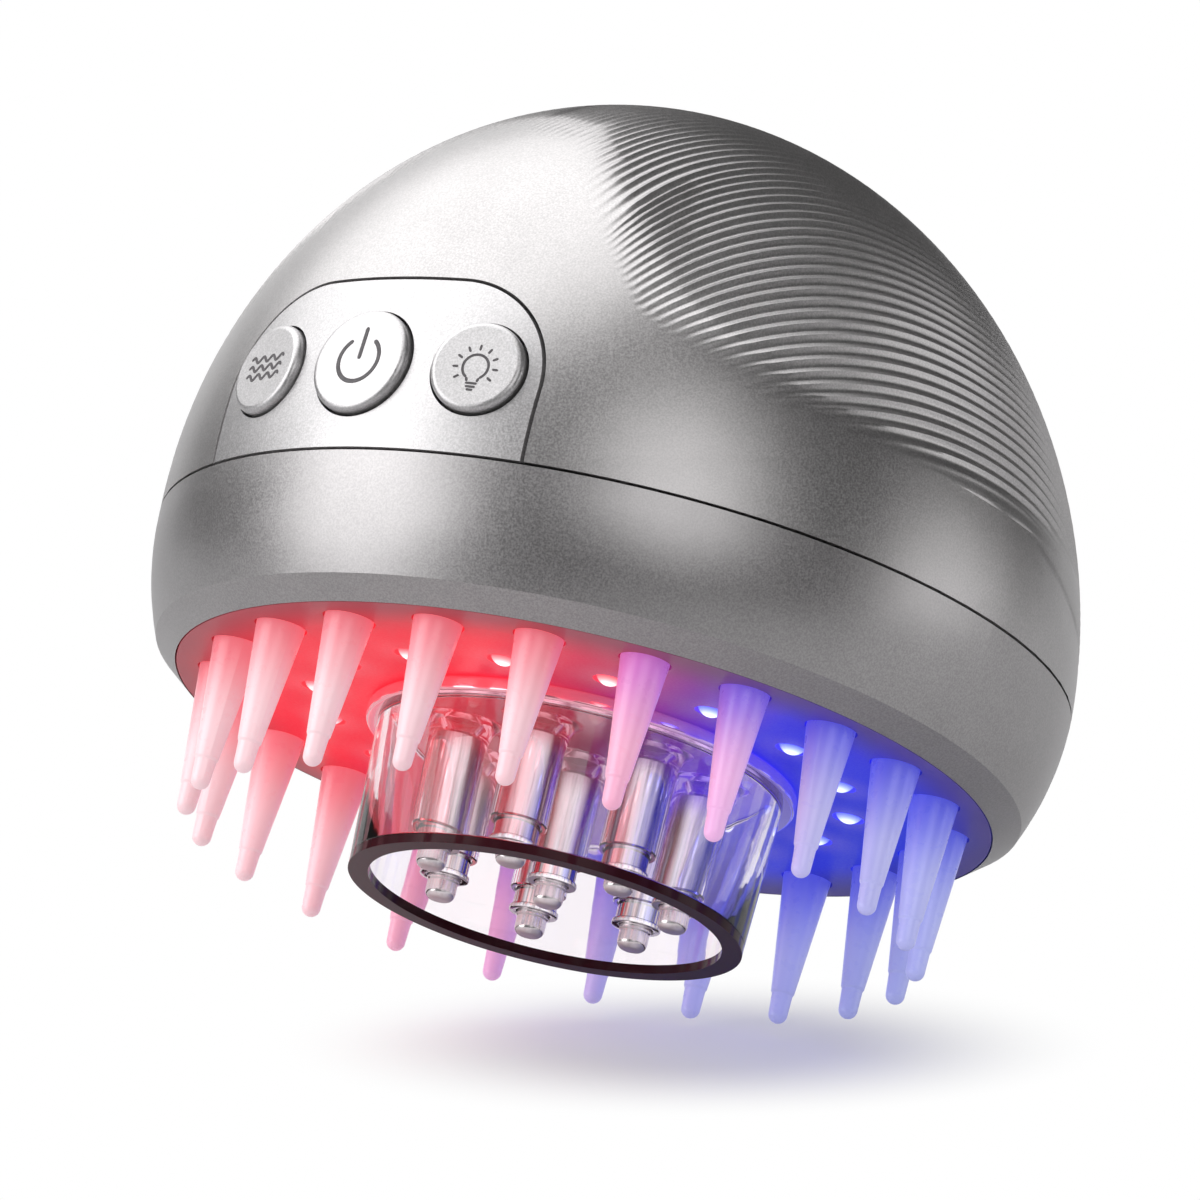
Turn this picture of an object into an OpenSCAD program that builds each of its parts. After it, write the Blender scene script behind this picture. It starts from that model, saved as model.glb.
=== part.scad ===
// Light therapy hair growth comb: a domed hand-held body with three buttons, a ring of soft
// teeth round a clear applicator cup with sprung nozzles, and red and blue lights between them.
// The origin is the centre of the cup's rim face, which the comb stands on. +Z points up the
// dome, and the buttons face -Y.

/* [Body] */
// Radius of the body at the joint line between its two shells
body_r = 45.6; // [43:0.2:50]
// Height of the dome above the joint line
dome_h = 49.8; // [46:0.2:56]
// How far the crown of the dome leans towards the buttons
crown_lean = 3.2; // [0:0.2:4]
// Height of the lower ring from the joint line down to its chamfer
ring_h = 11.7; // [11:0.1:14]
// Radius of the outward curve of the lower ring's wall, seen in section
ring_curve_r = 29.5; // [26:0.5:40]
// Height of the chamfer round the underside
chamfer_h = 2; // [1.6:0.1:2.6]
// Width of the chamfer, measured inwards
chamfer_w = 2.4; // [1.6:0.1:3]
// Wall of both shells
shell_wall = 2.2; // [1.8:0.1:2.6]
// Height of the shadow groove at the joint line
seam_gap = 0.3; // [0.2:0.05:0.6]
// Depth of the shadow groove at the joint line
seam_depth = 0.7; // [0.4:0.1:1]
// Height of the tongue that locates the upper shell on the lower ring
tongue_h = 1.6; // [1:0.1:2.5]
// Thickness of that tongue
tongue_t = 1.1; // [0.8:0.1:1.4]

/* [Grip] */
// Number of grooves on each side of the crown
groove_count = 14; // [10:1:14]
// Width of a groove
groove_w = 0.8; // [0.5:0.1:0.9]
// Depth of a groove
groove_depth = 0.3; // [0.2:0.05:0.4]
// Angle between the first two grooves, seen from the front
groove_step = 6.64; // [6.4:0.04:6.8]
// Height of the smooth front above the joint line
front_top_h = 39.4; // [36:0.2:42]
// Half the width of the smooth front at its foot
front_half_w = 35; // [33:0.5:37]
// Height of the grip's lower edge above the joint line
grip_low_h = 12.7; // [11:0.1:14]

/* [Control panel] */
// Half the width of the button panel
panel_half_w = 19; // [17:0.5:22]
// Height of the button panel above the joint line
panel_h = 18.4; // [16:0.2:20]
// Radius of the panel's two upper corners
panel_corner_r = 11; // [6:0.5:14]
// Width of the groove round the panel
panel_gap = 0.35; // [0.2:0.05:0.6]
// Width of the flange that holds the panel behind the shell
panel_flange_w = 1.6; // [1:0.1:2.5]
// Thickness of that flange
panel_flange_t = 1; // [0.8:0.1:1.4]

/* [Buttons] */
// Diameter of the middle button
power_button_d = 10.8; // [9:0.2:11.6]
// Diameter of the two outer buttons
side_button_d = 9.4; // [8:0.2:10.4]
// Angle between neighbouring buttons round the body
button_spread = 16.2; // [15:0.2:18]
// Height of the button centres above the joint line
button_rise = 8.8; // [8:0.2:10]
// Upward tilt of the button axes
button_tilt = 5.5; // [0:0.5:8]
// How far a button stands out of the panel
button_proud = 0.7; // [0.4:0.1:1]
// How far a button travels when it is pressed
button_travel = 0.7; // [0.4:0.1:0.7]
// Gap between a button and its hole
button_gap = 0.25; // [0.15:0.05:0.4]
// Radius of the dished corner round a button's face
button_edge = 0.6; // [0.3:0.1:0.9]

/* [Base plate] */
// Thickness of the base plate
plate_t = 2; // [1.6:0.1:2.2]
// Gap between the base plate and the lower ring
plate_gap = 0.15; // [0.1:0.05:0.3]

/* [Comb teeth] */
// Number of teeth round the ring
tooth_count = 22; // [16:1:23]
// Distance of the circle of teeth from the widest line of the body
tooth_inset = 9.7; // [9.2:0.1:10.4]
// Length of a tooth below the base plate
tooth_len = 15; // [12:0.5:16]
// Diameter of a tooth at the base plate
tooth_root_d = 4.8; // [4:0.1:5.2]
// Diameter of a tooth just above its slim end
tooth_neck_d = 2.35; // [2.2:0.05:2.8]
// Diameter of the slim end where it starts
slim_d = 2.1; // [1.9:0.05:2.2]
// Diameter of the rounded tip
tip_d = 1.9; // [1.6:0.05:1.9]
// Length of the slim end
slim_len = 3.2; // [2.4:0.2:4]
// Outward splay of the teeth
tooth_splay = 1.4; // [0:0.2:2]
// Turn of the first tooth from the front
comb_turn = -3.6; // [-8:0.2:8]
// Gap between a tooth and its hole in the base plate
tooth_gap = 0.2; // [0.15:0.05:0.3]
// Thickness of the silicone ring that carries the teeth
comb_ring_t = 2; // [1.6:0.1:2.2]
// Width of that ring
comb_ring_w = 7.4; // [6.6:0.1:7.6]

/* [Applicator cup] */
// Depth of the cup from its rim to the base plate
cup_h = 16.5; // [16:0.5:19]
// Radius of the cup at its rim
cup_r = 19.6; // [19:0.1:20.2]
// How much wider the cup is under its flange
cup_flare = 0.6; // [0:0.1:1]
// Wall of the cup
cup_wall = 1.5; // [1.2:0.1:1.7]
// Radius of the flange that meets the base plate
flange_r = 21.4; // [21:0.1:22.4]
// Thickness of the flange
flange_t = 1.5; // [1:0.1:1.8]
// Height of the tinted rim
rim_h = 0.9; // [0.6:0.1:1.4]
// Width of the tinted rim's flat face
rim_w = 2; // [1.6:0.1:2.2]
// Radius of the spigot that plugs into the tank
spigot_r = 16.6; // [16.4:0.1:17]
// Length of the spigot above the base plate's underside
spigot_len = 6; // [5:0.5:7]
// Wall of the spigot
spigot_wall = 2.2; // [2:0.1:2.4]
// Gap between the spigot and the tank's mouth
spigot_gap = 0.1; // [0.05:0.05:0.2]
// Thickness of the seal in the spigot's groove
seal_d = 1.6; // [1.2:0.1:1.8]
// How far the applicator pulls off the body
pull_off = 12; // [9:1:16]

/* [Nozzles] */
// Number of nozzles round the middle one
nozzle_ring_count = 7; // [5:1:8]
// Radius of the circle of nozzles
nozzle_circle_r = 12.4; // [11.6:0.1:12.6]
// Turn of the first nozzle from the front
nozzle_turn = -32.6; // [-45:0.2:45]
// Diameter of a nozzle tube
tube_d = 4.4; // [4.2:0.1:4.6]
// Wall of a nozzle tube
tube_wall = 0.3; // [0.25:0.05:0.4]
// Diameter of the collar at the foot of a tube
collar_d = 4.9; // [4.7:0.1:5.2]
// Thickness of that collar
collar_t = 0.5; // [0.4:0.1:0.8]
// Length of a tube
tube_len = 10.7; // [10:0.1:11]
// Diameter of the sprung tip
nozzle_tip_d = 3.3; // [2.8:0.1:3.4]
// How far the tip sits back from the rim face
tip_recess = 0.5; // [0.3:0.1:0.8]
// How far the tip stands out of its collar
tip_out = 2.3; // [2:0.1:2.6]
// How far the tip travels when it is pressed
tip_travel = 2; // [1:0.1:2]
// Running gap between a sprung tip and its tube
tip_gap = 0.06; // [0.03:0.01:0.1]
// Wire of the nozzle spring
spring_wire = 0.4; // [0.3:0.05:0.5]
// Turns of the nozzle spring
spring_turns = 5; // [4:0.5:6]
// Outer diameter of the clear sleeve round a tube
sleeve_d = 5.6; // [5.4:0.1:5.8]
// How far the sleeve stops short of the collar
sleeve_short = 2.2; // [1.5:0.1:3]
// Gap between a tube and its sleeve
tube_gap = 0.06; // [0.03:0.01:0.1]

/* [Lights] */
// Number of lights of each colour
led_count = 8; // [6:1:9]
// Distance of the circle of lights inside the circle of teeth
led_inset = 9.3; // [8.6:0.1:10.2]
// Diameter of a light's lens
led_d = 3; // [2.6:0.1:3.2]
// How far a lens shows below the base plate
led_proud = 0.5; // [0.3:0.1:0.8]
// Direction of the line between red and blue, from the front
led_split = 52.6; // [40:0.2:64]
// Thickness of the circuit boards
board_t = 1.2; // [0.8:0.1:1.6]

/* [Tank] */
// Outer radius of the serum tank
tank_r = 25; // [23:0.5:26]
// Height of the serum tank's top above the joint line
tank_rise = 6; // [5:0.5:6.5]
// Wall of the serum tank
tank_wall = 1.5; // [1.2:0.1:2]
// Thickness of the neck round the tank's mouth
neck_wall = 1.6; // [1.2:0.1:2]

/* [Power] */
// Diameter of the battery cell
battery_d = 18.3; // [16:0.1:18.6]
// Length of the battery cell
battery_len = 35; // [32:0.5:38]
// Diameter of the vibration motor
motor_d = 10; // [8:0.5:10.5]
// Length of the vibration motor
motor_len = 20; // [16:0.5:22]
// Diameter of the motor's shaft
shaft_d = 1.5; // [1.2:0.1:2]
// Radius of the eccentric weight
weight_r = 4.6; // [4:0.1:4.8]
// Thickness of the eccentric weight
weight_t = 4.5; // [3:0.5:5]
// Width of the charging socket
socket_w = 9; // [8.6:0.1:9.4]
// Height of the charging socket
socket_h = 3.3; // [3:0.1:3.6]
// Length of the charging socket
socket_len = 7.4; // [6.8:0.1:8]

/* [Frame and screws] */
// Distance of the frame's edge from the widest line of the body
frame_inset = 11.6; // [11.2:0.1:12.6]
// Thickness of that frame
frame_t = 2; // [1.6:0.1:2.4]
// Distance of the screw posts from the widest line of the body
post_inset = 8.2; // [8:0.1:8.6]
// Diameter of the screw posts
post_d = 5.6; // [5.2:0.1:5.8]
// Thickness of the webs that join the posts to the walls
web_t = 1.6; // [1.2:0.1:2]
// Height of the upper posts above the joint line
post_h = 12; // [11:0.5:13]
// Shank diameter of the case screws
screw_d = 2.2; // [2:0.1:2.4]
// Head diameter of the case screws
screw_head_d = 3.8; // [3.6:0.1:3.8]
// Depth to which a case screw bites into the upper shell
case_screw_bite = 7; // [5:0.5:9]
// Depth to which a frame screw bites below the frame
frame_screw_bite = 3; // [2:0.5:4]

/* [Hidden] */

$fn = 48;
// A hair of overlap that keeps cuts clean
eps = 0.01;
// Clearance between inner pieces that are fitted by hand
fit = 0.2;

// Levels up the object's axis
plate_z = cup_h;
plate_top_z = plate_z + plate_t;
chamfer_z = plate_z + chamfer_h;
seam_z = chamfer_z + ring_h;
crown_z = seam_z + dome_h;
lean = crown_lean / dome_h;

// Radii of the lower ring
ring_curve_c = body_r - ring_curve_r;
chamfer_r = ring_curve_c + sqrt(pow(ring_curve_r, 2) - pow(ring_h, 2));
mouth_r = chamfer_r - chamfer_w;
plate_r = mouth_r - plate_gap;
tooth_circle_r = body_r - tooth_inset;
led_circle_r = tooth_circle_r - led_inset;
post_circle_r = body_r - post_inset;
frame_r = body_r - frame_inset;
inner_r = body_r - shell_wall;
comb_ring_r = tooth_circle_r + comb_ring_w / 2;
ledge_r = comb_ring_r + fit;
ledge_t = comb_ring_t - fit;
post_low_z = plate_top_z + comb_ring_t + fit;
post_top_z = seam_z + post_h;
thread_play = 0.02;
screw_bore_d = screw_d + thread_play;
screw_hole_d = screw_d + fit;
screw_head_t = 1.4;
screw_seat_t = 4;
screw_seat_z = seam_z - screw_seat_t;

// Levels and radii of the applicator and the lights, from the rim upwards
cup_top_z = plate_z - flange_t;
carrier_step = 0.8;
carrier_r = cup_r + cup_flare - cup_wall + carrier_step;
neck_r = spigot_r + spigot_gap + neck_wall;
light_board_gap = 3;
light_board_z = plate_top_z + light_board_gap;
light_board_r = comb_ring_r - comb_ring_w - fit;
light_board_inner_r = neck_r + fit;

// Levels of the frame, the boards and the battery
frame_z = post_top_z;
frame_top_z = frame_z + frame_t;
board_drop = 1.8;
main_board_z = frame_z - board_drop - board_t;

// The dome: an ellipsoid of revolution whose upper part leans towards the buttons
module dome_solid(inset) {
    translate([0, 0, seam_z])
        multmatrix([[1, 0, 0, 0], [0, 1, -lean, 0], [0, 0, 1, 0], [0, 0, 0, 1]])
            scale([1, 1, (dome_h - inset) / (body_r - inset)])
                sphere(r = body_r - inset, $fn = 96);
}

module above(level) {
    translate([-2 * body_r, -2 * body_r, level])
        cube([4 * body_r, 4 * body_r, 2 * crown_z]);
}

module dome_half(inset, level) {
    intersection() {
        dome_solid(inset);
        above(level);
    }
}

// The grip: grooves cut by slabs that stand upright over the crown and fan out to lie flatter
// down the sides. Each slab runs from front to back, and stops at the smooth front's edge.
groove_ease = 0.1244;
groove_fan = 1.5;
groove_lead = 2;
front_slope = (front_top_h - grip_low_h) / front_half_w;

function groove_angle(j) = 90 - groove_step * j + groove_ease * j * j;
function groove_lie(angle) = min(90, groove_fan * angle + groove_lead);
function groove_x(angle) = body_r * cos(angle);
function groove_top(angle) = dome_h * sin(angle);
function groove_reach(angle, lie) = min(
    (groove_top(angle) - grip_low_h) / sin(lie),
    (groove_top(angle) - front_top_h + front_slope * groove_x(angle))
        / (sin(lie) + front_slope * cos(lie))
);

module groove_slab(j) {
    angle = groove_angle(j);
    lie = groove_lie(angle);
    reach = groove_reach(angle, lie);
    translate([groove_x(angle), 0, seam_z + groove_top(angle)])
        rotate([0, 90 - lie, 0])
            translate([-groove_w / 2, -2 * body_r, -reach])
                cube([groove_w, 4 * body_r, reach + 2 * groove_w]);
}

module grip_grooves() {
    difference() {
        union() {
            groove_slab(0);
            for (side = [0, 1])
                mirror([side, 0, 0])
                    for (j = [1:groove_count])
                        groove_slab(j);
        }
        dome_solid(groove_depth);
    }
}

// Outline of the button panel, seen from the front; grow is added all round
module panel_outline(grow) {
    half_w = panel_half_w + grow;
    corner = panel_corner_r + grow;
    top = panel_h + grow;
    translate([-half_w, -panel_h])
        square([2 * half_w, panel_h + top - corner]);
    translate([-half_w + corner, -panel_h])
        square([2 * (half_w - corner), panel_h + top]);
    for (side = [-1, 1])
        translate([side * (half_w - corner), top - corner])
            circle(r = corner);
}

module panel_column(grow) {
    translate([0, 0, seam_z])
        rotate([90, 0, 0])
            linear_extrude(height = 2 * body_r)
                panel_outline(grow);
}

// Places its children at the four screw posts
module at_posts(level) {
    for (turn = [45:90:315])
        rotate(turn)
            translate([0, -post_circle_r, level])
                children();
}

// A post with a web that joins it to the wall; the web starts web_up above the foot
module posts(level, h, web_up) {
    at_posts(level) {
        cylinder(d = post_d, h = h);
        translate([-web_t / 2, -(body_r - post_circle_r), web_up])
            cube([web_t, body_r - post_circle_r, h - web_up]);
    }
}

module upper_shell() {
    color("#a9a7a8")
        difference() {
            union() {
                difference() {
                    dome_half(0, seam_z);
                    dome_solid(shell_wall);
                    grip_grooves();
                }
                intersection() {
                    dome_half(shell_wall / 2, seam_z);
                    posts(seam_z, post_h, tongue_h + fit);
                }
            }
            translate([0, 0, seam_z - eps])
                difference() {
                    cylinder(r = 2 * body_r, h = seam_gap / 2 + eps);
                    translate([0, 0, -eps])
                        cylinder(r = body_r - seam_depth, h = seam_gap + 2 * eps, $fn = 96);
                }
            panel_column(0);
            at_posts(seam_z - eps)
                cylinder(d = screw_bore_d, h = post_h + 2 * eps);
        }
}

module control_panel() {
    color("#aeacad")
        difference() {
            union() {
                intersection() {
                    difference() {
                        dome_half(0, seam_z + seam_gap / 2);
                        dome_solid(shell_wall + panel_flange_t);
                    }
                    panel_column(-panel_gap);
                }
                intersection() {
                    difference() {
                        dome_half(shell_wall + fit / 2, seam_z + tongue_h + fit);
                        dome_solid(shell_wall + panel_flange_t);
                    }
                    panel_column(panel_flange_w);
                }
            }
            for (place = [-1, 0, 1])
                at_button(place)
                    cylinder(r = button_r(place) + button_gap, h = button_face_w);
            tongue_space();
        }
}

// Buttons: w is measured outwards along a button's own axis, from the body's axis
button_skirt_max = 0.8;
button_skirt_t = 0.8;
panel_inner_r = body_r - shell_wall - panel_flange_t;
panel_front_r = body_r * sqrt(1 - pow(button_rise / dome_h, 2)) + lean * button_rise;
panel_front_w = panel_front_r / cos(button_tilt);
panel_sag = pow(power_button_d / 2 + button_skirt_max, 2) / (2 * panel_inner_r);
button_face_w = panel_front_w + button_proud;
button_skirt_w = panel_front_w - (body_r - panel_inner_r) - panel_sag - fit / 2;
// The skirts stay clear of each other when neighbouring buttons are pressed in together
pressed_w = button_skirt_w - button_skirt_t - button_travel;
skirt_room = 2 * pressed_w * cos(button_tilt) * tan(button_spread / 2)
    - (power_button_d + side_button_d) / 2 - fit;
button_skirt = min(button_skirt_max, skirt_room / 2);
button_stem_d = 3.4;
dome_wall = 0.6;
switch_plunger_d = 2;
switch_plunger_w = button_skirt_w - button_skirt_t - button_travel - fit;
switch_body_t = 2;
switch_plunger_t = 0.9;
switch_body_w = switch_plunger_w - switch_plunger_t;
switch_size = 6;
flex_t = 0.4;
flex_r = switch_body_w - switch_body_t;

function button_r(place) = (place == 0 ? power_button_d : side_button_d) / 2;

module at_button(place) {
    translate([0, 0, seam_z + button_rise - panel_front_r * tan(button_tilt)])
        rotate(place * button_spread)
            rotate([90 - button_tilt, 0, 0])
                children();
}

// A round cap with a rolled edge on its face and a skirt that keeps it behind the panel
module button_cap(place) {
    r = button_r(place);
    at_button(place) {
        translate([0, 0, button_skirt_w])
            rotate_extrude()
                intersection() {
                    square([r, button_face_w]);
                    union() {
                        square([r, button_face_w - button_skirt_w - button_edge]);
                        square([r - button_edge, button_face_w - button_skirt_w]);
                        translate([r - button_edge, button_face_w - button_skirt_w - button_edge])
                            circle(r = button_edge);
                    }
                }
        translate([0, 0, button_skirt_w - button_skirt_t])
            cylinder(r = r + button_skirt, h = button_skirt_t + eps);
    }
}

module wave_button() {
    color("#b2b0b1")
        button_cap(-1);
}

module power_button() {
    color("#b2b0b1")
        button_cap(0);
}

module light_button() {
    color("#b2b0b1")
        button_cap(1);
}

// Silicone domes between the caps and the switches
module key_domes() {
    color("#d9d9d4")
        for (place = [-1, 0, 1])
            at_button(place)
                translate([0, 0, switch_body_w])
                    difference() {
                        cylinder(
                            r1 = button_stem_d, r2 = button_stem_d / 2 + dome_wall,
                            h = button_skirt_w - button_skirt_t - switch_body_w
                        );
                        translate([0, 0, -eps])
                            cylinder(
                                r1 = button_stem_d - dome_wall, r2 = button_stem_d / 2,
                                h = switch_plunger_t + fit + eps
                            );
                    }
}

module tact_switches() {
    color("#3a3a3c")
        for (place = [-1, 0, 1])
            at_button(place) {
                translate([-switch_size / 2, -switch_size / 2, switch_body_w - switch_body_t])
                    cube([switch_size, switch_size, switch_body_t]);
                translate([0, 0, switch_body_w - eps])
                    cylinder(d = switch_plunger_d, h = switch_plunger_t + eps);
            }
}

// A flexible board bent behind the three buttons
module switch_board() {
    color("#2f6b45")
        for (place = [-1, 0, 1])
            at_button(place)
                translate([-bracket_w / 2, -switch_pad / 2, flex_r - flex_t])
                    cube([bracket_w, switch_pad, flex_t]);
}

// Bracket: three upright plates behind the switches on a foot that is screwed to the frame
pad_margin = 1;
switch_pad = switch_size + 2 * pad_margin;
bracket_t = 1.6;
bracket_r = flex_r - flex_t;
bracket_back_r = bracket_r - bracket_t;
bracket_w = 2 * bracket_r * tan(button_spread / 2) + fit;
bracket_foot_t = 1.4;
bracket_h = frame_top_z + bracket_foot_t - seam_z - button_rise + switch_pad;
bracket_screw_inset = 4;
bracket_toe = 0.8;
bracket_screw_r = min(frame_r, bracket_back_r) - bracket_screw_inset;
bracket_toe_r = bracket_screw_r - screw_head_d / 2 - bracket_toe;

module bracket_plates(grow) {
    for (place = [-1, 0, 1])
        at_button(place)
            translate([-bracket_w / 2 - grow, -switch_pad / 2, bracket_back_r - grow])
                cube([bracket_w + 2 * grow, bracket_h + grow, bracket_t + grow]);
}

module switch_bracket() {
    color("#55565a")
        difference() {
            union() {
                bracket_plates(0);
                intersection() {
                    translate([0, 0, frame_top_z])
                        rotate_extrude()
                            translate([bracket_toe_r, 0])
                                square([bracket_back_r - bracket_toe_r, bracket_foot_t]);
                    translate([-bracket_w / 2, -2 * body_r, 0])
                        cube([bracket_w, 2 * body_r, 2 * crown_z]);
                }
            }
            translate([0, -bracket_screw_r, frame_top_z - eps])
                cylinder(d = screw_hole_d, h = bracket_foot_t + 2 * eps);
        }
}

// Lower ring: curved outer wall, chamfer, ledge over the base plate, tongue and screw posts
module ring_outline() {
    intersection() {
        translate([ring_curve_c, seam_z])
            circle(r = ring_curve_r, $fn = 180);
        polygon([
            [mouth_r, plate_z], [chamfer_r, chamfer_z], [body_r + eps, chamfer_z],
            [body_r + eps, seam_z], [0, seam_z], [0, plate_z]
        ]);
    }
}

module ring_hollow() {
    intersection() {
        translate([ring_curve_c, seam_z])
            circle(r = ring_curve_r - shell_wall, $fn = 180);
        translate([0, plate_top_z + ledge_t])
            square([body_r, ring_h + chamfer_h]);
    }
}

module tongue_space() {
    translate([0, 0, seam_z - eps])
        cylinder(r = inner_r - fit / 2 + eps, h = tongue_h + fit, $fn = 96);
}

gasket_w = 0.7;
gasket_inset = 0.25;
gasket_r = inner_r + gasket_inset;
shelf_gap = 1;
shelf_y = post_circle_r + shelf_gap;

module tongue() {
    rotate_extrude($fn = 96)
        translate([inner_r - fit - tongue_t, seam_z - 2 * tongue_h]) {
            square([tongue_t, 3 * tongue_h]);
            square([tongue_t + fit + eps, tongue_h]);
        }
}

module lower_ring() {
    color("#9c9a9c")
        difference() {
            union() {
                rotate_extrude($fn = 96)
                    difference() {
                        ring_outline();
                        ring_hollow();
                        square([ledge_r, plate_top_z + ledge_t + eps]);
                        square([mouth_r, plate_top_z]);
                        translate([body_r - seam_depth, seam_z - seam_gap / 2])
                            square([2 * seam_depth, seam_gap]);
                        translate([gasket_r, seam_z - gasket_w])
                            square([gasket_w, 2 * gasket_w]);
                    }
                tongue();
                intersection() {
                    rotate_extrude($fn = 96)
                        difference() {
                            ring_outline();
                            translate([inner_r - fit, 0])
                                square([body_r, 2 * seam_z]);
                        }
                    union() {
                        posts(post_low_z, seam_z - post_low_z, 0);
                        translate([-charge_board_w / 2, shelf_y, post_low_z])
                            cube([charge_board_w, body_r - shelf_y, charge_board_z - post_low_z]);
                    }
                }
            }
            at_posts(0) {
                cylinder(d = screw_hole_d, h = seam_z + eps);
                cylinder(d = screw_head_d + 2 * fit, h = screw_seat_z);
            }
            charge_opening();
        }
}

module seam_gasket() {
    color("#2b2b2d")
        rotate_extrude($fn = 96)
            translate([gasket_r, seam_z - gasket_w])
                square([gasket_w, gasket_w]);
}

// Base plate with a hole for every tooth and light, and a mouth for the applicator
mouth_gap = 0.5;
led_step = 180 / led_count;

module at_teeth() {
    for (i = [0:tooth_count - 1])
        rotate(comb_turn + i * 360 / tooth_count)
            translate([0, -tooth_circle_r, 0])
                children();
}

module at_leds(first) {
    for (i = [0:led_count - 1])
        rotate(led_split + first + (i + 0.5) * led_step)
            translate([0, -led_circle_r, 0])
                children();
}

peg_d = 2.6;
peg_inset = 2.2;
peg_circle_r = light_board_inner_r + peg_inset;

module base_plate() {
    color("#c9a5c9") {
        difference() {
            translate([0, 0, plate_z])
                cylinder(r = plate_r, h = plate_t, $fn = 96);
            translate([0, 0, plate_z - eps]) {
                cylinder(r = spigot_r + mouth_gap, h = plate_t + 2 * eps, $fn = 96);
                at_teeth()
                    cylinder(d = tooth_root_d + 2 * tooth_gap, h = plate_t + 2 * eps, $fn = 24);
                for (half = [0, 180])
                    at_leds(half)
                        cylinder(d = led_d + fit, h = plate_t + 2 * eps, $fn = 24);
            }
        }
        for (turn = [0:90:270])
            rotate(led_split + turn)
                translate([0, -peg_circle_r, plate_top_z - eps])
                    cylinder(d = peg_d, h = light_board_z - plate_top_z + eps);
    }
}

// Silicone ring behind the plate, moulded with the teeth
module comb_ring() {
    color("#f3e4e8")
        translate([0, 0, plate_top_z])
            difference() {
                cylinder(r = comb_ring_r, h = comb_ring_t, $fn = 96);
                translate([0, 0, -eps])
                    cylinder(r = comb_ring_r - comb_ring_w, h = comb_ring_t + 2 * eps, $fn = 96);
            }
}

// One tooth, pointing down from the base plate's underside
tooth_top = plate_t * cos(tooth_splay) - tooth_root_d / 2 * sin(tooth_splay);
tooth_neck = tooth_len - slim_len;
tooth_step = tooth_neck_d - slim_d;

module tooth() {
    rotate_extrude($fn = 24) {
        polygon([
            [0, tooth_top], [tooth_root_d / 2, tooth_top], [tooth_root_d / 2, 0],
            [tooth_neck_d / 2, -tooth_neck], [slim_d / 2, -tooth_neck - tooth_step],
            [tip_d / 2, tip_d / 2 - tooth_len], [0, tip_d / 2 - tooth_len]
        ]);
        intersection() {
            translate([0, tip_d / 2 - tooth_len])
                circle(d = tip_d);
            translate([0, -tooth_len])
                square([tip_d, tip_d]);
        }
    }
}

module comb_teeth() {
    color("#f6dfe6")
        at_teeth()
            translate([0, 0, plate_z])
                rotate([-tooth_splay, 0, 0])
                    tooth();
}

// Lights on a ring-shaped board above the plate
led_base_t = 0.6;

module light_board() {
    color("#2f6b45")
        translate([0, 0, light_board_z])
            difference() {
                cylinder(r = light_board_r, h = board_t, $fn = 96);
                translate([0, 0, -eps])
                    cylinder(r = light_board_inner_r, h = board_t + 2 * eps, $fn = 96);
            }
}

module led() {
    lens_z = plate_z - led_proud + led_d / 2;
    translate([0, 0, lens_z])
        cylinder(d = led_d, h = light_board_z - lens_z, $fn = 24);
    translate([0, 0, lens_z])
        sphere(d = led_d, $fn = 24);
    translate([0, 0, light_board_z - led_base_t])
        cylinder(d = led_d + 2 * led_base_t, h = led_base_t, $fn = 24);
}

module red_leds() {
    color("#ff3a3a")
        at_leds(180)
            led();
}

module blue_leds() {
    color("#3a4bff")
        at_leds(0)
            led();
}

// Applicator cup: clear tapered wall with a flange against the base plate
module applicator_cup() {
    color("#e9edf2", 0.35)
        rotate_extrude($fn = 96)
            polygon([
                [cup_r, rim_h], [cup_r + cup_flare, cup_top_z], [flange_r, cup_top_z],
                [flange_r, plate_z], [carrier_r, plate_z], [carrier_r, cup_top_z],
                [cup_r + cup_flare - cup_wall, cup_top_z], [cup_r - cup_wall, rim_h]
            ]);
}

module cup_rim() {
    color("#4a3f44")
        rotate_extrude($fn = 96)
            translate([cup_r - rim_w, 0])
                square([rim_w, rim_h]);
}

// Nozzle plate: a clear disc with the spigot above it and a sleeve and funnel for each nozzle
funnel_r = 4;
funnel_h = 2.4;
funnel_wall = 1.6;
seal_up = 1.2;
collar_z = tip_recess + tip_out;
tube_top_z = collar_z + tube_len;
sleeve_z = collar_z + sleeve_short;
spigot_z = plate_z + spigot_len;
seal_z = plate_top_z + seal_up;
seal_slot_w = seal_d + fit;
seal_gap = 0.05;
seal_slot_depth = seal_d - spigot_gap + 2 * seal_gap;

module at_nozzle(i) {
    angle = nozzle_turn + i * 360 / nozzle_ring_count;
    reach = i < nozzle_ring_count ? nozzle_circle_r : 0;
    rotate(angle)
        translate([0, -reach, 0])
            children();
}

module at_nozzles() {
    for (i = [0:nozzle_ring_count])
        at_nozzle(i)
            children();
}

// Bores for the nozzle tubes, with a cone above each that leads the serum in
module nozzle_bores() {
    at_nozzles() {
        translate([0, 0, sleeve_z - eps])
            cylinder(d = tube_d + 2 * tube_gap, h = tube_top_z - sleeve_z + eps);
        translate([0, 0, tube_top_z - eps])
            cylinder(d1 = inlet_d, r2 = funnel_r - funnel_wall, h = plate_z - tube_top_z + 2 * eps);
    }
}

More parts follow.
